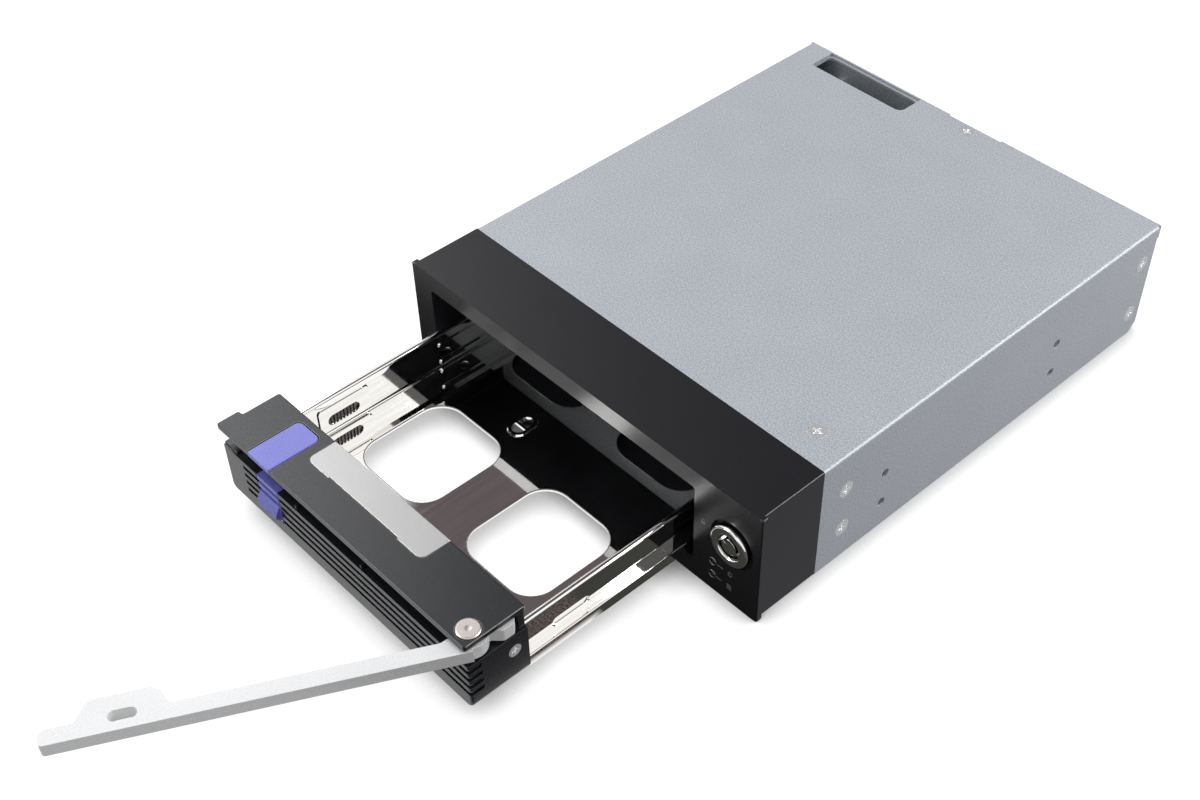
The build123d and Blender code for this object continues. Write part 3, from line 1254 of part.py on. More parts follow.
def board_standoffs():
    """Hexagonal standoffs between the rear panel and the board."""
    hexagon = RegularPolygon(STANDOFF_FLATS / 2, 6, major_radius=False)
    section = hexagon - Circle(BOARD_SCREW_RADIUS + SCREW_FIT)
    posts = [Pos(x, z) * section for x, z in standoff_places()]
    return Compound([along_y(post, BACKPLANE_REAR_Y, PANEL_INNER_Y) for post in posts])


def board_screws():
    """Pan-headed screws through the board into the standoffs."""
    head = along_y(Circle(BOARD_SCREW_HEAD_RADIUS), BACKPLANE_FRONT_Y - BOARD_SCREW_HEAD, BACKPLANE_FRONT_Y)
    cross = Rectangle(3.0, 0.7) + Rectangle(0.7, 3.0)
    head -= along_y(cross, BACKPLANE_FRONT_Y - 2 * BOARD_SCREW_HEAD, BACKPLANE_FRONT_Y - BOARD_SCREW_HEAD / 2)
    shank = along_y(Circle(BOARD_SCREW_RADIUS), BACKPLANE_FRONT_Y, BACKPLANE_REAR_Y + BOARD_SCREW_REACH)
    screw = head + shank
    return Compound([Pos(x, 0, z) * screw for x, z in standoff_places()])


def socket_section(length, height, blades):
    """Front view of a socket: an outer wall with blades inside, each a centre and a length."""
    section = RectangleRounded(length, height, 0.6)
    section -= Rectangle(length - 2 * SOCKET_WALL, height - 2 * SOCKET_WALL)
    for centre, blade in blades:
        section += Pos(centre, -0.3) * Rectangle(blade, BLADE_THICKNESS)
    return section


def drive_socket_z():
    """Height of the drive's own connector above the tray's floor."""
    return PAN_TOP_Z + DRIVE_SOCKET_RISE


def drive_connector():
    """Socket on the front of the backplane that the drive's connector enters."""
    inner = DRIVE_SOCKET_LENGTH - 2 * SOCKET_WALL - 2.0
    data = inner * 0.29
    power = inner * 0.58
    blades = [((data - inner) / 2, data), ((inner - power) / 2, power)]
    section = socket_section(DRIVE_SOCKET_LENGTH, DRIVE_SOCKET_HEIGHT, blades)
    front = BACKPLANE_FRONT_Y - DRIVE_SOCKET_DEPTH
    place = Pos(DRIVE_SOCKET_X, drive_socket_z())
    socket = along_y(place * section, front, BACKPLANE_FRONT_Y - 1.5)
    base = RectangleRounded(DRIVE_SOCKET_LENGTH, DRIVE_SOCKET_HEIGHT, 0.6)
    return socket + along_y(place * base, BACKPLANE_FRONT_Y - 1.5, BACKPLANE_FRONT_Y)


def rear_socket(x, length, blade):
    """Socket on the rear of the backplane, reaching into the rear panel's window."""
    section = socket_section(length, REAR_SOCKET_HEIGHT, [(0, blade)])
    place = Pos(x, REAR_SOCKET_Z)
    socket = along_y(place * section, BACKPLANE_REAR_Y + 1.8, PANEL_Y - 0.2)
    base = RectangleRounded(length, REAR_SOCKET_HEIGHT, 0.6)
    return socket + along_y(place * base, BACKPLANE_REAR_Y, BACKPLANE_REAR_Y + 1.8)


PIECES = {
    "cage_shell": cage_shell,
    "base_plate": base_plate,
    "rear_panel": rear_panel,
    "front_bezel": front_bezel,
    "guide_rail_left": lambda: guide_runner(-1),
    "guide_rail_right": lambda: guide_runner(1),
    "rail_rivets": rail_rivets,
    "backplane_board": backplane_board,
    "drive_connector": drive_connector,
    "data_connector": lambda: rear_socket(DATA_X, DATA_LENGTH, BLADE_LENGTH_DATA),
    "power_connector": lambda: rear_socket(POWER_X, POWER_LENGTH, BLADE_LENGTH_POWER),
    "board_standoffs": board_standoffs,
    "board_screws": board_screws,
    "side_screws": side_screws,
    "top_screws": top_screws,
    "indicator_lenses": indicator_lenses,
    "indicator_leds": indicator_leds,
    "indicator_board": indicator_board,
    "flex_headers": flex_headers,
    "indicator_flex": indicator_flex,
    "lock_housing": lock_housing,
    "lock_nut": lock_nut,
    "lock_barrel": lock_barrel,
    "lock_cam": lock_cam,
    "cam_screw": cam_screw,
    "tray_pan": tray_pan,
    "tray_front": tray_front,
    "tray_cover": tray_cover,
    "label_plate": label_plate,
    "pivot_pin": pivot_pin,
    "tray_screws": tray_screws,
    "button_spring": button_spring,
    "lever": lever,
    "release_button": release_button,
}

os.makedirs("parts", exist_ok=True)
for name, build in PIECES.items():
    export_step(build(), "parts/" + name + ".step")
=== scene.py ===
import math

import bmesh
import bpy
from mathutils import Matrix, Vector


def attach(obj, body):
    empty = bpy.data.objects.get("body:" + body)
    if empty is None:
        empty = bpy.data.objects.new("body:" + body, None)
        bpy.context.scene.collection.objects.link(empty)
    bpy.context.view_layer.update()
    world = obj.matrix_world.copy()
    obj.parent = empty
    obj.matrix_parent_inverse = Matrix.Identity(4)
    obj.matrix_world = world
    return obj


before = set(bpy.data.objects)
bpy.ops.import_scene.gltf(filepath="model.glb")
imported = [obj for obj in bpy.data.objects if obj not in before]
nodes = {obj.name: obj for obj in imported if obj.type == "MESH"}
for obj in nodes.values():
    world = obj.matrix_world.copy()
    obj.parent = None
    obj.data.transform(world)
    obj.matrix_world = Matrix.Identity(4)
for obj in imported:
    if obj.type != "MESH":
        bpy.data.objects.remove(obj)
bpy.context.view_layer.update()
MM = 0.001
NOISE_LOW = 0.3
NOISE_HIGH = 0.7


class Wiring:
    """Adds and links the nodes of one material or world."""

    def __init__(self, owner):
        owner.use_nodes = True
        self.tree = owner.node_tree
        self.tree.nodes.clear()

    def add(self, kind, **values):
        node = self.tree.nodes.new(kind)
        for key, value in values.items():
            setattr(node, key, value)
        return node

    def link(self, a, a_out, b, b_in):
        self.tree.links.new(a.outputs[a_out], b.inputs[b_in])

    def join(self, kind, a, b, **values):
        """A node whose first two inputs are the first outputs of two others."""
        node = self.add(kind, **values)
        self.link(a, 0, node, 0)
        self.link(b, 0, node, 1)
        return node

    def times(self, a, b):
        return self.join("ShaderNodeMath", a, b, operation="MULTIPLY")

    def either(self, a, b):
        return self.join("ShaderNodeMath", a, b, operation="MAXIMUM")

    def blend(self, factor, first, second):
        """First colour, or the second where the factor is 1: each is a colour or an output."""
        node = self.add("ShaderNodeMix", data_type="RGBA")
        self.link(factor, 0, node, 0)
        for socket, value in ((6, first), (7, second)):
            if isinstance(value, tuple):
                node.inputs[socket].default_value = value
            else:
                self.tree.links.new(value, node.inputs[socket])
        return node.outputs[2]


# Materials
class Graph(Wiring):
    """Wires one material round a principled shader."""

    def __init__(self, name):
        self.material = bpy.data.materials.new(name)
        super().__init__(self.material)
        self.out = self.add("ShaderNodeOutputMaterial")
        self.shader = self.add("ShaderNodeBsdfPrincipled")
        self.link(self.shader, 0, self.out, "Surface")
        self.coord = self.add("ShaderNodeTexCoord")

    def noise(self, size, detail=2.0, stretch=(1, 1, 1), rough=0.5):
        """Noise with features of about that size in metres."""
        mapping = self.add("ShaderNodeMapping")
        mapping.inputs["Scale"].default_value = [s / size for s in stretch]
        self.link(self.coord, "Object", mapping, "Vector")
        noise = self.add("ShaderNodeTexNoise")
        noise.inputs["Scale"].default_value = 1.0
        noise.inputs["Detail"].default_value = detail
        noise.inputs["Roughness"].default_value = rough
        self.link(mapping, 0, noise, "Vector")
        return noise

    def ramp(self, source, low, high, a, b, output=0):
        """Maps a node's output from the span low to high onto a to b."""
        node = self.add("ShaderNodeMapRange")
        node.inputs["From Min"].default_value = low
        node.inputs["From Max"].default_value = high
        node.inputs["To Min"].default_value = a
        node.inputs["To Max"].default_value = b
        self.link(source, output, node, "Value")
        return node

    def scaled(self, value, color):
        """A colour times a value."""
        scale = self.add("ShaderNodeVectorMath", operation="SCALE")
        scale.inputs[0].default_value = color
        self.link(value, 0, scale, "Scale")
        return scale.outputs[0]

    def tint(self, value, color):
        """Gives the shader a colour times a value."""
        self.tree.links.new(self.scaled(value, color), self.shader.inputs["Base Color"])

    def bump(self, source, height):
        """Raises the surface by up to that height in metres."""
        node = self.add("ShaderNodeBump")
        node.inputs["Strength"].default_value = 1.0
        node.inputs["Distance"].default_value = height
        self.link(source, 0, node, "Height")
        self.link(node, 0, self.shader, "Normal")

    def set(self, socket, value):
        self.shader.inputs[socket].default_value = value

    def vary(self, noise, a, b):
        """Spreads a noise over a to b."""
        return self.ramp(noise, NOISE_LOW, NOISE_HIGH, a, b)


def flake_paint(name, color, metallic, rough, grain, contrast, bump=0.00002):
    """Paint or blasted metal with a fine metallic grain: contrast is the grain's strength."""
    g = Graph(name)
    g.set("Metallic", metallic)
    grain_noise = g.noise(grain, 3.0, rough=0.7)
    soft_noise = g.noise(0.02)
    flakes = g.vary(grain_noise, 1.0 - contrast, 1.0 + contrast)
    g.tint(g.times(flakes, g.vary(soft_noise, 0.98, 1.02)), color)
    g.link(g.vary(grain_noise, rough - 0.08, rough + 0.08), 0, g.shader, "Roughness")
    g.bump(grain_noise, bump)
    return g.material


def moulded(name, color, rough, grain=0.0004, bump=0.00002, contrast=0.06, level=0.5):
    """Fine-textured plastic or satin paint: level is the strength of its gloss."""
    g = Graph(name)
    g.set("Specular IOR Level", level)
    grain_noise = g.noise(grain)
    soft_noise = g.noise(0.015)
    mottle = g.vary(soft_noise, 1.0 - contrast, 1.0 + contrast)
    g.tint(g.times(mottle, g.vary(grain_noise, 0.75, 1.25)), color)
    g.link(g.vary(grain_noise, rough - 0.05, rough + 0.06), 0, g.shader, "Roughness")
    g.bump(grain_noise, bump)
    return g.material


def metal(
    name, color, rough, grain=0.0006, stretch=(1, 1, 1), spread=0.05, bump=0.000004, contrast=0.04
):
    """Plain, brushed or polished metal: stretch sets the brushing direction."""
    g = Graph(name)
    g.set("Metallic", 1.0)
    streaks = g.noise(grain, 3.0, stretch)
    soft_noise = g.noise(0.03)
    g.tint(g.vary(streaks, 1.0 - contrast, 1.0 + contrast), color)
    brushed = g.vary(streaks, max(rough - spread, 0.01), rough + spread)
    g.link(g.times(brushed, g.vary(soft_noise, 0.85, 1.15)), 0, g.shader, "Roughness")
    g.bump(streaks, bump)
    return g.material


MATERIALS = {
    "cage_paint": flake_paint("cage_paint", (0.485, 0.510, 0.550), 0.15, 0.48, 0.0005, 0.36),
    "bezel_black": moulded(
        "bezel_black", (0.0090, 0.0086, 0.0120), 0.34, 0.0005, 0.00001, level=0.45
    ),
    "block_black": moulded(
        "block_black", (0.0085, 0.0105, 0.0145), 0.32, 0.0005, 0.000015, level=0.45
    ),
    "polished": metal(
        "polished_sheet", (0.95, 0.94, 0.92), 0.04, 0.0012, (1, 0.04, 1), 0.015, 0.0000006
    ),
    "lever_metal": flake_paint(
        "lever_metal", (0.84, 0.84, 0.84), 0.15, 0.42, 0.0005, 0.10, 0.00003
    ),
    "label": flake_paint("label_plate", (0.46, 0.46, 0.455), 0.42, 0.36, 0.0003, 0.10, 0.00001),
    "nickel": metal("nickel", (0.56, 0.52, 0.49), 0.36, 0.0004, (1, 1, 1), 0.06),
    "zinc": metal("zinc", (0.80, 0.80, 0.80), 0.20, 0.0005),
    "screw": flake_paint("screw_zinc", (0.93, 0.94, 0.95), 0.60, 0.24, 0.0005, 0.06, 0.00001),
    "rim": metal("sheet_edge", (0.30, 0.29, 0.28), 0.30, 0.0006),
    "grip_dark": moulded("grip_dark", (0.045, 0.028, 0.026), 0.35, level=0.4),
    # Lighter grey on rounded edges and edge tubes: a painted highlight
    "painted_edge_highlight": moulded("painted_edge_highlight", (0.26, 0.26, 0.255), 0.30, bump=0.00001),
    # Lighter grey on the fins' rounded edges: a painted highlight
    "painted_fin_highlight": moulded("painted_fin_highlight", (0.060, 0.060, 0.060), 0.30, bump=0.00001),
    "mark": moulded("face_print", (0.30, 0.30, 0.29), 0.5, level=0.3),
    "chrome": metal(
        "chrome", (0.86, 0.86, 0.85), 0.07, 0.0010, spread=0.02, bump=0.0000008, contrast=0.02
    ),
    "button_blue": moulded("button_blue", (0.215, 0.225, 0.74), 0.38, bump=0.00001),
    "board": moulded("board", (0.012, 0.10, 0.035), 0.4),
    "connector_black": moulded("connector_black", (0.02, 0.02, 0.02), 0.45),
    "lens": moulded("lens", (0.05, 0.05, 0.05), 0.12, bump=0.000002),
    "flex": moulded("flex", (0.30, 0.11, 0.02), 0.3),
}

# Which nodes each finish goes on
DRESS = {
    "cage_paint": ("cage_shell", "base_plate", "rear_panel"),
    "bezel_black": ("front_bezel",),
    "block_black": ("tray_front", "tray_cover"),
    "polished": ("tray_pan",),
    "lever_metal": ("lever",),
    "label": ("label_plate",),
    "nickel": ("pivot_pin",),
    "zinc": (
        "guide_rail_left",
        "guide_rail_right",
        "rail_rivets",
        "board_standoffs",
        "board_screws",
        "lock_nut",
        "lock_cam",
        "cam_screw",
        "button_spring",
    ),
    "screw": ("side_screws", "top_screws", "tray_screws"),
    "chrome": ("lock_housing", "lock_barrel"),
    "button_blue": ("release_button",),
    "board": ("backplane_board", "indicator_board"),
    "connector_black": ("drive_connector", "data_connector", "power_connector", "flex_headers"),
    "lens": ("indicator_lenses", "indicator_leds"),
    "flex": ("indicator_flex",),
}

# Width in millimetres of the rounding on each node's sharp edges
BEVEL = {
    "cage_shell": 0.15,
    "rear_panel": 0.15,
    "front_bezel": 0.3,
    "tray_front": 0.25,
    "tray_cover": 0.2,
    "label_plate": 0.08,
    "lever": 0.3,
    "release_button": 0.2,
    "tray_pan": 0.12,
    "side_screws": 0.06,
    "top_screws": 0.06,
    "tray_screws": 0.06,
    "lock_housing": 0.12,
    "lock_barrel": 0.08,
    "pivot_pin": 0.1,
}

# Lighter finish of the rounding where it differs from the node's own: a painted highlight along
# the sharp edges
EDGE_HIGHLIGHT = {"front_bezel": "painted_edge_highlight", "tray_cover": "painted_edge_highlight", "tray_front": "painted_fin_highlight"}

SHARP = math.radians(30)
FLAT = math.radians(0.4)
WELD_GAP = 0.000002


def drop_imported_normals(obj):
    """Clears the normals that came with the mesh, so that the modifiers set them."""
    bpy.context.view_layer.objects.active = obj
    if obj.data.has_custom_normals:
        bpy.ops.mesh.customdata_custom_splitnormals_clear()
    for polygon in obj.data.polygons:
        polygon.use_smooth = True


def join_faces(obj):
    """Joins the faces that the import left apart."""
    weld = obj.modifiers.new("weld", "WELD")
    weld.merge_threshold = WELD_GAP
    flats = obj.modifiers.new("flats", "DECIMATE")
    flats.decimate_type = "DISSOLVE"
    flats.angle_limit = FLAT


def soften(obj, width, edge=None):
    """Rounds the sharp edges and keeps the flats flat: edge is a lighter finish for the rounding
    alone, a painted highlight.
    """
    bevel = obj.modifiers.new("bevel", "BEVEL")
    if edge:
        obj.data.materials.append(MATERIALS[edge])
        bevel.material = 1
    bevel.width = width * MM
    bevel.segments = 2
    bevel.limit_method = "ANGLE"
    bevel.angle_limit = SHARP
    bevel.use_clamp_overlap = True
    weighted = obj.modifiers.new("normals", "WEIGHTED_NORMAL")
    weighted.mode = "FACE_AREA"
    weighted.weight = 80


def crease(obj, angle):
    """Keeps sharp edges sharp where nothing is rounded."""
    split = obj.modifiers.new("split", "EDGE_SPLIT")
    split.split_angle = angle


for key, names in DRESS.items():
    for name in names:
        node = nodes[name]
        node.data.materials.clear()
        node.data.materials.append(MATERIALS[key])
for name, node in nodes.items():
    drop_imported_normals(node)
    join_faces(node)
    if name in BEVEL:
        soften(node, BEVEL[name], edge=EDGE_HIGHLIGHT.get(name))
    else:
        crease(node, SHARP)


# Detail pieces, their sizes and places in millimetres
TRAY_X = -8.2
BLOCK_REAR = -160.1
PAN_TOP = 9.0
WALL_INNER = 52.1
FACE = -101.5
BEZEL_TOP = 41.5
BEZEL_ENDS = (-73.3, 72.4)
COVER_TOP = 32.0
COVER_RIGHT = 46.4
COVER_ENDS = (-179.3, -160.4)
WINDOW_SIZE = (32.5, 35.0)
WINDOW_CORNER = 8.5
WINDOW_PITCH = (48.3, 57.8)
WINDOW_FIRST = 29.8
RIM_RADIUS = 0.17
RIM_SINK = 0.10
GRIP_FROM_BLOCK = 18.4
GRIP_Z = 13.9
GRIP_SIZE = (11.2, 3.4)
GRIP_RIB_COUNT = 8
GRIP_RIB_PITCH = 1.2125
GRIP_RIB_WIDTH = 0.56
PRESSED_DEPTH = 0.6
LENS_X = 56.6
LENS_HEIGHTS = (6.3, 11.6)
LENS_RIM = 1.28
PRINT_HEIGHT = 0.05
DASH_HEIGHT = 0.04
LINE_DEPTH = 0.02
POWER_MARK = (63.3, 11.5)
DISC_MARK = (63.1, 5.3)
LOCK_MARK = (52.5, 24.2)
EDGE_INSET = 0.25
EDGE_RADIUS = 0.235
DETAIL_SHARP = math.radians(35)


def mesh_piece(name, shape, body, material):
    """Turns a bmesh in millimetres into a piece that moves with a body."""
    mesh = bpy.data.meshes.new(name)
    bmesh.ops.scale(shape, vec=(MM, MM, MM), verts=shape.verts)
    bmesh.ops.recalc_face_normals(shape, faces=shape.faces)
    shape.to_mesh(mesh)
    shape.free()
    obj = bpy.data.objects.new(name, mesh)
    bpy.context.scene.collection.objects.link(obj)
    mesh.materials.append(MATERIALS[material])
    for polygon in mesh.polygons:
        polygon.use_smooth = True
    crease(obj, DETAIL_SHARP)
    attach(obj, body)


def rounded_loop(centre, size, corner, steps=8):
    """Points of a rounded rectangle in a plane, as pairs."""
    points = []
    for turn, (sx, sy) in enumerate(((1, 1), (-1, 1), (-1, -1), (1, -1))):
        mx = centre[0] + sx * (size[0] / 2 - corner)
        my = centre[1] + sy * (size[1] / 2 - corner)
        for step in range(steps + 1):
            angle = math.radians(90 * (turn + step / steps))
            points.append((mx + corner * math.cos(angle), my + corner * math.sin(angle)))
    return points


def add_tube(shape, points, radius, closed=True, sides=8):
    """Sweeps a small round section along points."""
    points = [Vector(p) for p in points]
    count = len(points)
    rings = []
    for i, point in enumerate(points):
        before = points[i - 1] if closed or i else point
        after = points[(i + 1) % count] if closed or i < count - 1 else point
        along = (after - before).normalized()
        across = along.cross(Vector((0, 0, 1)))
        across = across.normalized() if across.length > 0.01 else Vector((1, 0, 0))
        up = across.cross(along).normalized()
        ring = []
        for side in range(sides):
            angle = 2 * math.pi * side / sides
            spoke = math.cos(angle) * across + math.sin(angle) * up
            ring.append(shape.verts.new(point + radius * spoke))
        rings.append(ring)
    pairs = zip(rings, rings[1:] + rings[:1]) if closed else zip(rings, rings[1:])
    for first, second in pairs:
        for side in range(sides):
            other = (side + 1) % sides
            shape.faces.new((first[side], first[other], second[other], second[side]))
    if not closed:
        shape.faces.new(rings[0])
        shape.faces.new(rings[-1])


def add_plate(shape, outline, low, high, place):
    """Extrudes an outline of pairs from low to high: place turns (u, v, height) into x, y, z."""
    bottom = [shape.verts.new(place(u, v, low)) for u, v in outline]
    top = [shape.verts.new(place(u, v, high)) for u, v in outline]
    count = len(outline)
    for i in range(count):
        j = (i + 1) % count
        shape.faces.new((bottom[i], bottom[j], top[j], top[i]))
    shape.faces.new(bottom)
    shape.faces.new(top)


def rectangle(u, v, width, height):
    """Corners of a rectangle about a centre, as pairs."""
    left, right = u - width / 2, u + width / 2
    low, high = v - height / 2, v + height / 2
    return [(left, low), (right, low), (right, high), (left, high)]


def on_face(u, v, height):
    """A point on the bezel's face: height is how far it stands out."""
    return (u, FACE - height, v)


def face_arc(x, z, radii, degrees):
    """Points of an arc on the bezel's face."""
    turns = [math.radians(a) for a in degrees]
    return [
        on_face(x + radii[0] * math.cos(turn), z + radii[1] * math.sin(turn), LINE_DEPTH)
        for turn in turns
    ]


def window_rims():
    """Burnished edge round each opening in the tray's floor."""
    shape = bmesh.new()
    for row in range(2):
        for side in (-0.5, 0.5):
            x = TRAY_X + side * WINDOW_PITCH[0]
            y = BLOCK_REAR + WINDOW_FIRST + row * WINDOW_PITCH[1]
            loop = rounded_loop((x, y), WINDOW_SIZE, WINDOW_CORNER)
            add_tube(shape, [(u, v, PAN_TOP - RIM_SINK) for u, v in loop], RIM_RADIUS)
    mesh_piece("window_rims", shape, "tray", "rim")


def grip_insert():
    """Dark ribbed oval in the pressed grip of the left wall."""
    shape = bmesh.new()
    field = TRAY_X - WALL_INNER + PRESSED_DEPTH
    y, z = BLOCK_REAR + GRIP_FROM_BLOCK, GRIP_Z
    length, height = GRIP_SIZE
    oval = rounded_loop((y, z), GRIP_SIZE, height / 2 - 0.01)
    add_plate(shape, oval, field - 0.86, field - 0.62, lambda u, v, h: (h, u, v))
    for i in range(GRIP_RIB_COUNT):
        offset = (i - (GRIP_RIB_COUNT - 1) / 2) * GRIP_RIB_PITCH
        over = max(0.0, abs(offset) - (length - height) / 2)
        half = math.sqrt(max((height / 2) ** 2 - over ** 2, 0.04)) * 0.94
        rib = rectangle(y + offset, z, GRIP_RIB_WIDTH, 2 * half)
        add_plate(shape, rib, field - 0.7, field - 0.25, lambda u, v, h: (h, u, v))
    mesh_piece("grip_insert", shape, "tray", "grip_dark")


def indicator_rims():
    """Bright ring round each indicator lens."""
    shape = bmesh.new()
    steps = 32
    degrees = [360 * step / steps for step in range(steps)]
    for z in LENS_HEIGHTS:
        add_tube(shape, face_arc(LENS_X, z, (LENS_RIM, LENS_RIM), degrees), 0.15)
    mesh_piece("indicator_rims", shape, "rack", "rim")


def face_marks():
    """Dashes beside the indicators and three plain symbols."""
    shape = bmesh.new()
    for x, z, width in ((59.1, LENS_HEIGHTS[0], 2.2), (59.45, LENS_HEIGHTS[1], 2.3)):
        add_plate(shape, rectangle(x, z, width, 0.26), 0, DASH_HEIGHT, on_face)
    x, z = POWER_MARK
    add_tube(shape, face_arc(x, z, (0.75, 0.75), range(120, 421, 20)), 0.09, closed=False)
    add_plate(shape, rectangle(x, z + 0.6, 0.2, 0.9), 0, PRINT_HEIGHT, on_face)
    x, z = DISC_MARK
    for row in range(3):
        add_plate(shape, rectangle(x, z + 0.75 * row, 1.7, 0.28), 0, PRINT_HEIGHT, on_face)
    x, z = LOCK_MARK
    add_plate(shape, rectangle(x, z, 1.7, 1.1), 0, PRINT_HEIGHT, on_face)
    add_tube(shape, face_arc(x, z + 0.7, (0.55, 0.75), range(0, 181, 20)), 0.11, closed=False)
    mesh_piece("face_marks", shape, "rack", "mark")


def highlight_tube(name, points, body):
    """Painted highlight: a pale tube along a rounded edge."""
    shape = bmesh.new()
    add_tube(shape, points, EDGE_RADIUS, closed=False, sides=16)
    mesh_piece(name, shape, body, "painted_edge_highlight")


def highlight_tubes():
    """Painted highlight lines along the top of the bezel's face and the right end of the cover."""
    y, z = FACE + EDGE_INSET, BEZEL_TOP - EDGE_INSET
    left, right = BEZEL_ENDS
    highlight_tube("bezel_edge_highlight", [(x, y, z) for x in (left, -30.0, 30.0, right)], "rack")
    x, z = COVER_RIGHT - EDGE_INSET, COVER_TOP - EDGE_INSET
    front, back = COVER_ENDS
    highlight_tube("cover_edge_highlight", [(x, y, z) for y in (front, -170.0, back)], "tray")


window_rims()
grip_insert()
highlight_tubes()
indicator_rims()
face_marks()


# Stage and light
CONTACT_REACH = 0.012
WHITE = (1, 1, 1, 1)
# Floor colours seen only in reflections: painted shadow, painted brown reflection and painted
# shade
PAINTED_SHADOW_FLOOR = (0.34, 0.34, 0.35, 1)
PAINTED_BROWN_FLOOR = (0.092, 0.074, 0.070)
PAINTED_SHADE_FLOOR = (0.048, 0.048, 0.043, 1)


def reflected_floor(g):
    """The floor in reflections, all painted: white, dim as a painted shadow by the cage, brown as
    a painted reflection by the tray, dark as painted shade by the face.
    """
    place = g.add("ShaderNodeSeparateXYZ")
    g.link(g.coord, "Object", place, 0)
    beside = g.ramp(place, 0.0525, 0.0540, 0, 1, output="X")
    under = g.ramp(place, 0.031, 0.035, 0, 1, output="X")
    outside = g.ramp(place, -0.077, -0.073, 1, 0, output="X")
    near_face = g.ramp(place, -0.135, -0.129, 0, 1, output="Y")
    ahead = g.ramp(place, -0.1015, -0.0995, 1, 0, output="Y")
    face = g.times(g.either(under, outside), near_face)
    speck = g.noise(0.0007, 3.0, rough=0.8)
    brown = g.scaled(g.ramp(speck, 0.35, 0.65, 0.2, 1.8), PAINTED_BROWN_FLOOR)
    front = g.blend(face, brown, PAINTED_SHADE_FLOOR)
    dim = g.blend(ahead, PAINTED_SHADOW_FLOOR, front)
    return g.blend(g.either(beside, face), WHITE, dim)


def floor_material():
    """Pale matt floor: white to the camera, with a painted shadow near what it carries and painted
    reflections.
    """
    g = Graph("floor")
    g.set("Roughness", 0.95)
    g.set("Specular IOR Level", 0.0)
    path = g.add("ShaderNodeLightPath")
    grain = g.noise(0.01)
    not_glossy = g.ramp(path, 0, 1, 1, 0, output="Is Glossy Ray")
    g.tint(g.times(g.vary(grain, 0.245, 0.255), not_glossy), WHITE[:3])
    # To the camera the floor glows: ambient occlusion turns the glow down into a painted contact
    # shadow
    near = g.add("ShaderNodeAmbientOcclusion", samples=8)
    near.inputs["Distance"].default_value = CONTACT_REACH
    seen = g.add("ShaderNodeMath", operation="MULTIPLY")
    g.link(g.ramp(near, 0.28, 0.80, 0.08, 0.94, output="AO"), 0, seen, 0)
    g.link(path, "Is Camera Ray", seen, 1)
    glow = g.add("ShaderNodeEmission")
    g.link(seen, 0, glow, "Strength")
    # In reflections the floor shows painted reflections and painted shade in place of its own
    # white
    mirror = g.add("ShaderNodeEmission")
    g.tree.links.new(reflected_floor(g), mirror.inputs["Color"])
    g.link(path, "Is Glossy Ray", mirror, "Strength")
    lit = g.join("ShaderNodeAddShader", g.shader, glow)
    g.link(g.join("ShaderNodeAddShader", lit, mirror), 0, g.out, "Surface")
    return g.material


bpy.ops.mesh.primitive_plane_add(size=6.0, location=(0, 0, 0))
floor = bpy.context.object
floor.name = "floor"
floor.data.materials.append(floor_material())


class World(Wiring):
    """Wires the surround of the scene."""

    def __init__(self, name):
        world = bpy.data.worlds.new(name)
        bpy.context.scene.world = world
        super().__init__(world)
        self.coord = self.add("ShaderNodeTexCoord")

    def side(self, direction, low, high):
        """0 to 1 where a direction's part along another goes from low to high."""
        dot = self.add("ShaderNodeVectorMath", operation="DOT_PRODUCT")
        self.link(self.coord, "Generated", dot, 0)
        dot.inputs[1].default_value = direction
        span = self.add("ShaderNodeMapRange", interpolation_type="SMOOTHSTEP")
        span.inputs["From Min"].default_value = low
        span.inputs["From Max"].default_value = high
        self.link(dot, "Value", span, "Value")
        return span

    def background(self, color):
        node = self.add("ShaderNodeBackground")
        node.inputs["Color"].default_value = color
        return node

    def choose(self, factor, output, first, second):
        """First background, or the second where a node's output is 1."""
        node = self.add("ShaderNodeMixShader")
        self.link(factor, output, node, 0)
        self.link(first, 0, node, 1)
        self.link(second, 0, node, 2)
        return node


def studio():
    """Soft light from above, and for reflections a white surround with one dark side."""
    sky = World("studio")
    path = sky.add("ShaderNodeLightPath")
    soft = sky.background((0.97, 0.98, 1.0, 1))
    level = sky.add("ShaderNodeMapRange")
    level.inputs["To Min"].default_value = 0.02
    level.inputs["To Max"].default_value = 0.92
    sky.link(sky.side((-0.40, 0.36, 0.84), -0.85, 1.0), 0, level, "Value")
    sky.link(level, 0, soft, "Strength")
    behind = sky.side((0.697, 0.679, 0.231), -0.008, 0.012)
    dark = sky.times(behind, sky.side((-1.0, 0.0, 0.0), -0.35, -0.20))
    mirror = sky.background(WHITE)
    shade = sky.blend(dark, WHITE, (0.118, 0.098, 0.103, 1))
    sky.tree.links.new(shade, mirror.inputs["Color"])
    straight = sky.add("ShaderNodeMath", operation="MAXIMUM")
    sky.link(path, "Is Camera Ray", straight, 0)
    sky.link(path, "Is Transmission Ray", straight, 1)
    reflected = sky.choose(path, "Is Glossy Ray", soft, mirror)
    seen = sky.choose(straight, 0, reflected, sky.background(WHITE))
    sky.link(seen, 0, sky.add("ShaderNodeOutputWorld"), "Surface")


studio()

MIDDLE = Vector((0, -0.03, 0.02))


def area_light(name, place, size, power):
    """Rectangle lamp that looks at the middle of the object, its first size along the level."""
    data = bpy.data.lights.new(name, "AREA")
    data.shape = "RECTANGLE"
    data.size, data.size_y = size
    data.energy = power
    lamp = bpy.data.objects.new(name, data)
    bpy.context.scene.collection.objects.link(lamp)
    lamp.location = place
    lamp.rotation_euler = (MIDDLE - Vector(place)).to_track_quat("-Z", "Y").to_euler()
    return lamp


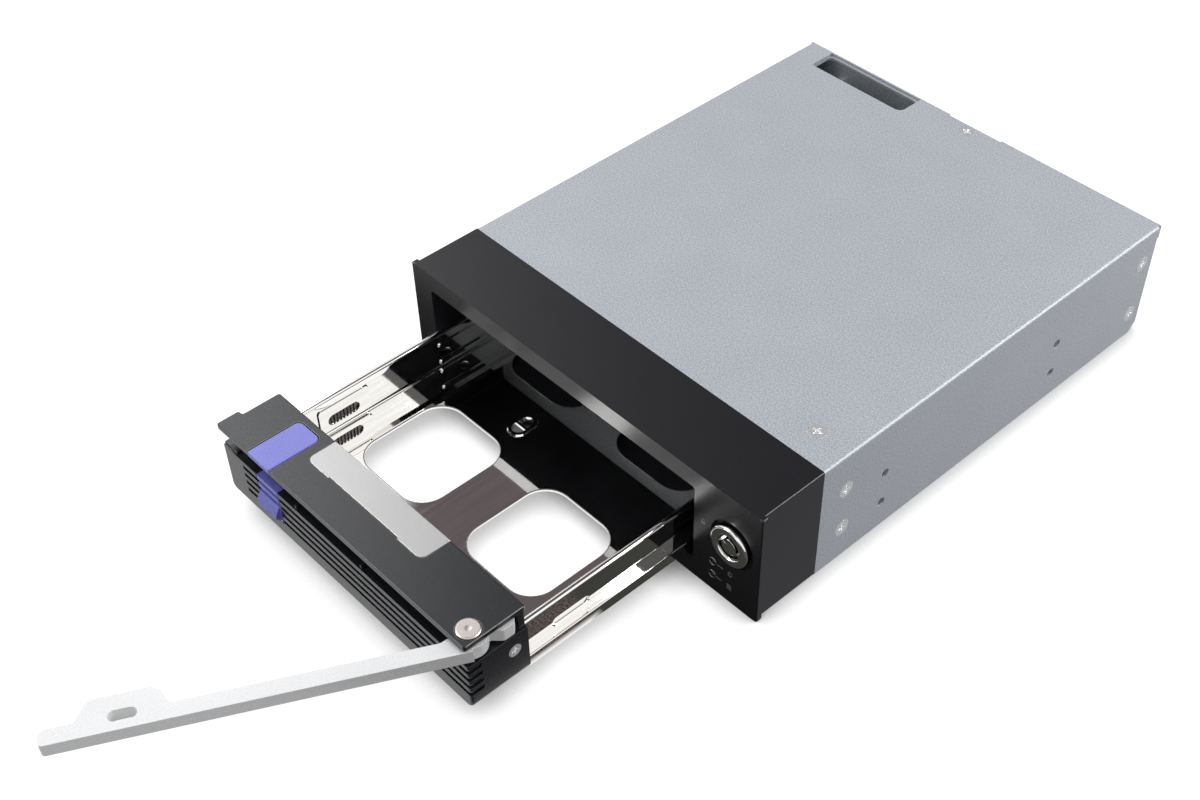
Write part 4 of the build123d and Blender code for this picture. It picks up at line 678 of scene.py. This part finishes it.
def strip_light(name, direction, along, size, power):
    """Lamp for reflections only, its long side along a direction."""
    place = MIDDLE + Vector(direction).normalized()
    lamp = area_light(name, place, size, power)
    lamp.visible_diffuse = False
    back = (place - MIDDLE).normalized()
    side = Vector(along)
    side = (side - back * side.dot(back)).normalized()
    lamp.rotation_euler = Matrix((side, back.cross(side), back)).transposed().to_euler()


area_light("key", (-0.81, 0.085, 0.833), (0.36, 0.5), 2.2)
area_light("right", (0.44, 0.38, 0.26), (0.22, 0.22), 1.6)
strip_light("front_edges", (-0.518, -0.70, 0.46), (0.0, 0.47, 0.715), (0.85, 0.26), 6.5)
strip_light("right_edges", (0.715, 0.47, 0.50), (-0.518, 0.0, 0.715), (0.75, 0.26), 5.0)


# Camera, with its centre and focal length in pixels of a frame of that size
FRAME_SIZE = (1200, 800)
FRAME_CENTRE = (620, 460)
FOCAL_PIXELS = 1689.54
SENSOR = 36.0
CAMERA_PLACE = (0.267298, -0.32641, 0.366226)
CAMERA_TURN = (47.822, 45.627, -0.985)


def look(azimuth, elevation, roll):
    """Camera rotation that looks down at the object from its front right."""
    az, el, ro = (math.radians(a) for a in (azimuth, elevation, roll))
    forward = Vector((-math.sin(az) * math.cos(el), math.cos(az) * math.cos(el), -math.sin(el)))
    right = forward.cross(Vector((0, 0, 1))).normalized()
    up = right.cross(forward)
    turned_right = right * math.cos(ro) + up * math.sin(ro)
    turned_up = up * math.cos(ro) - right * math.sin(ro)
    return Matrix((turned_right, turned_up, -forward)).transposed()


data = bpy.data.cameras.new("camera")
camera = bpy.data.objects.new("camera", data)
bpy.context.scene.collection.objects.link(camera)
data.sensor_width = SENSOR
data.lens = SENSOR * FOCAL_PIXELS / FRAME_SIZE[0]
data.shift_x = (FRAME_SIZE[0] / 2 - FRAME_CENTRE[0]) / FRAME_SIZE[0]
data.shift_y = (FRAME_CENTRE[1] - FRAME_SIZE[1] / 2) / FRAME_SIZE[0]
data.clip_start = 0.01
camera.matrix_world = Matrix.Translation(CAMERA_PLACE) @ look(*CAMERA_TURN).to_4x4()
bpy.context.scene.camera = camera

bpy.context.scene.view_settings.view_transform = "Standard"
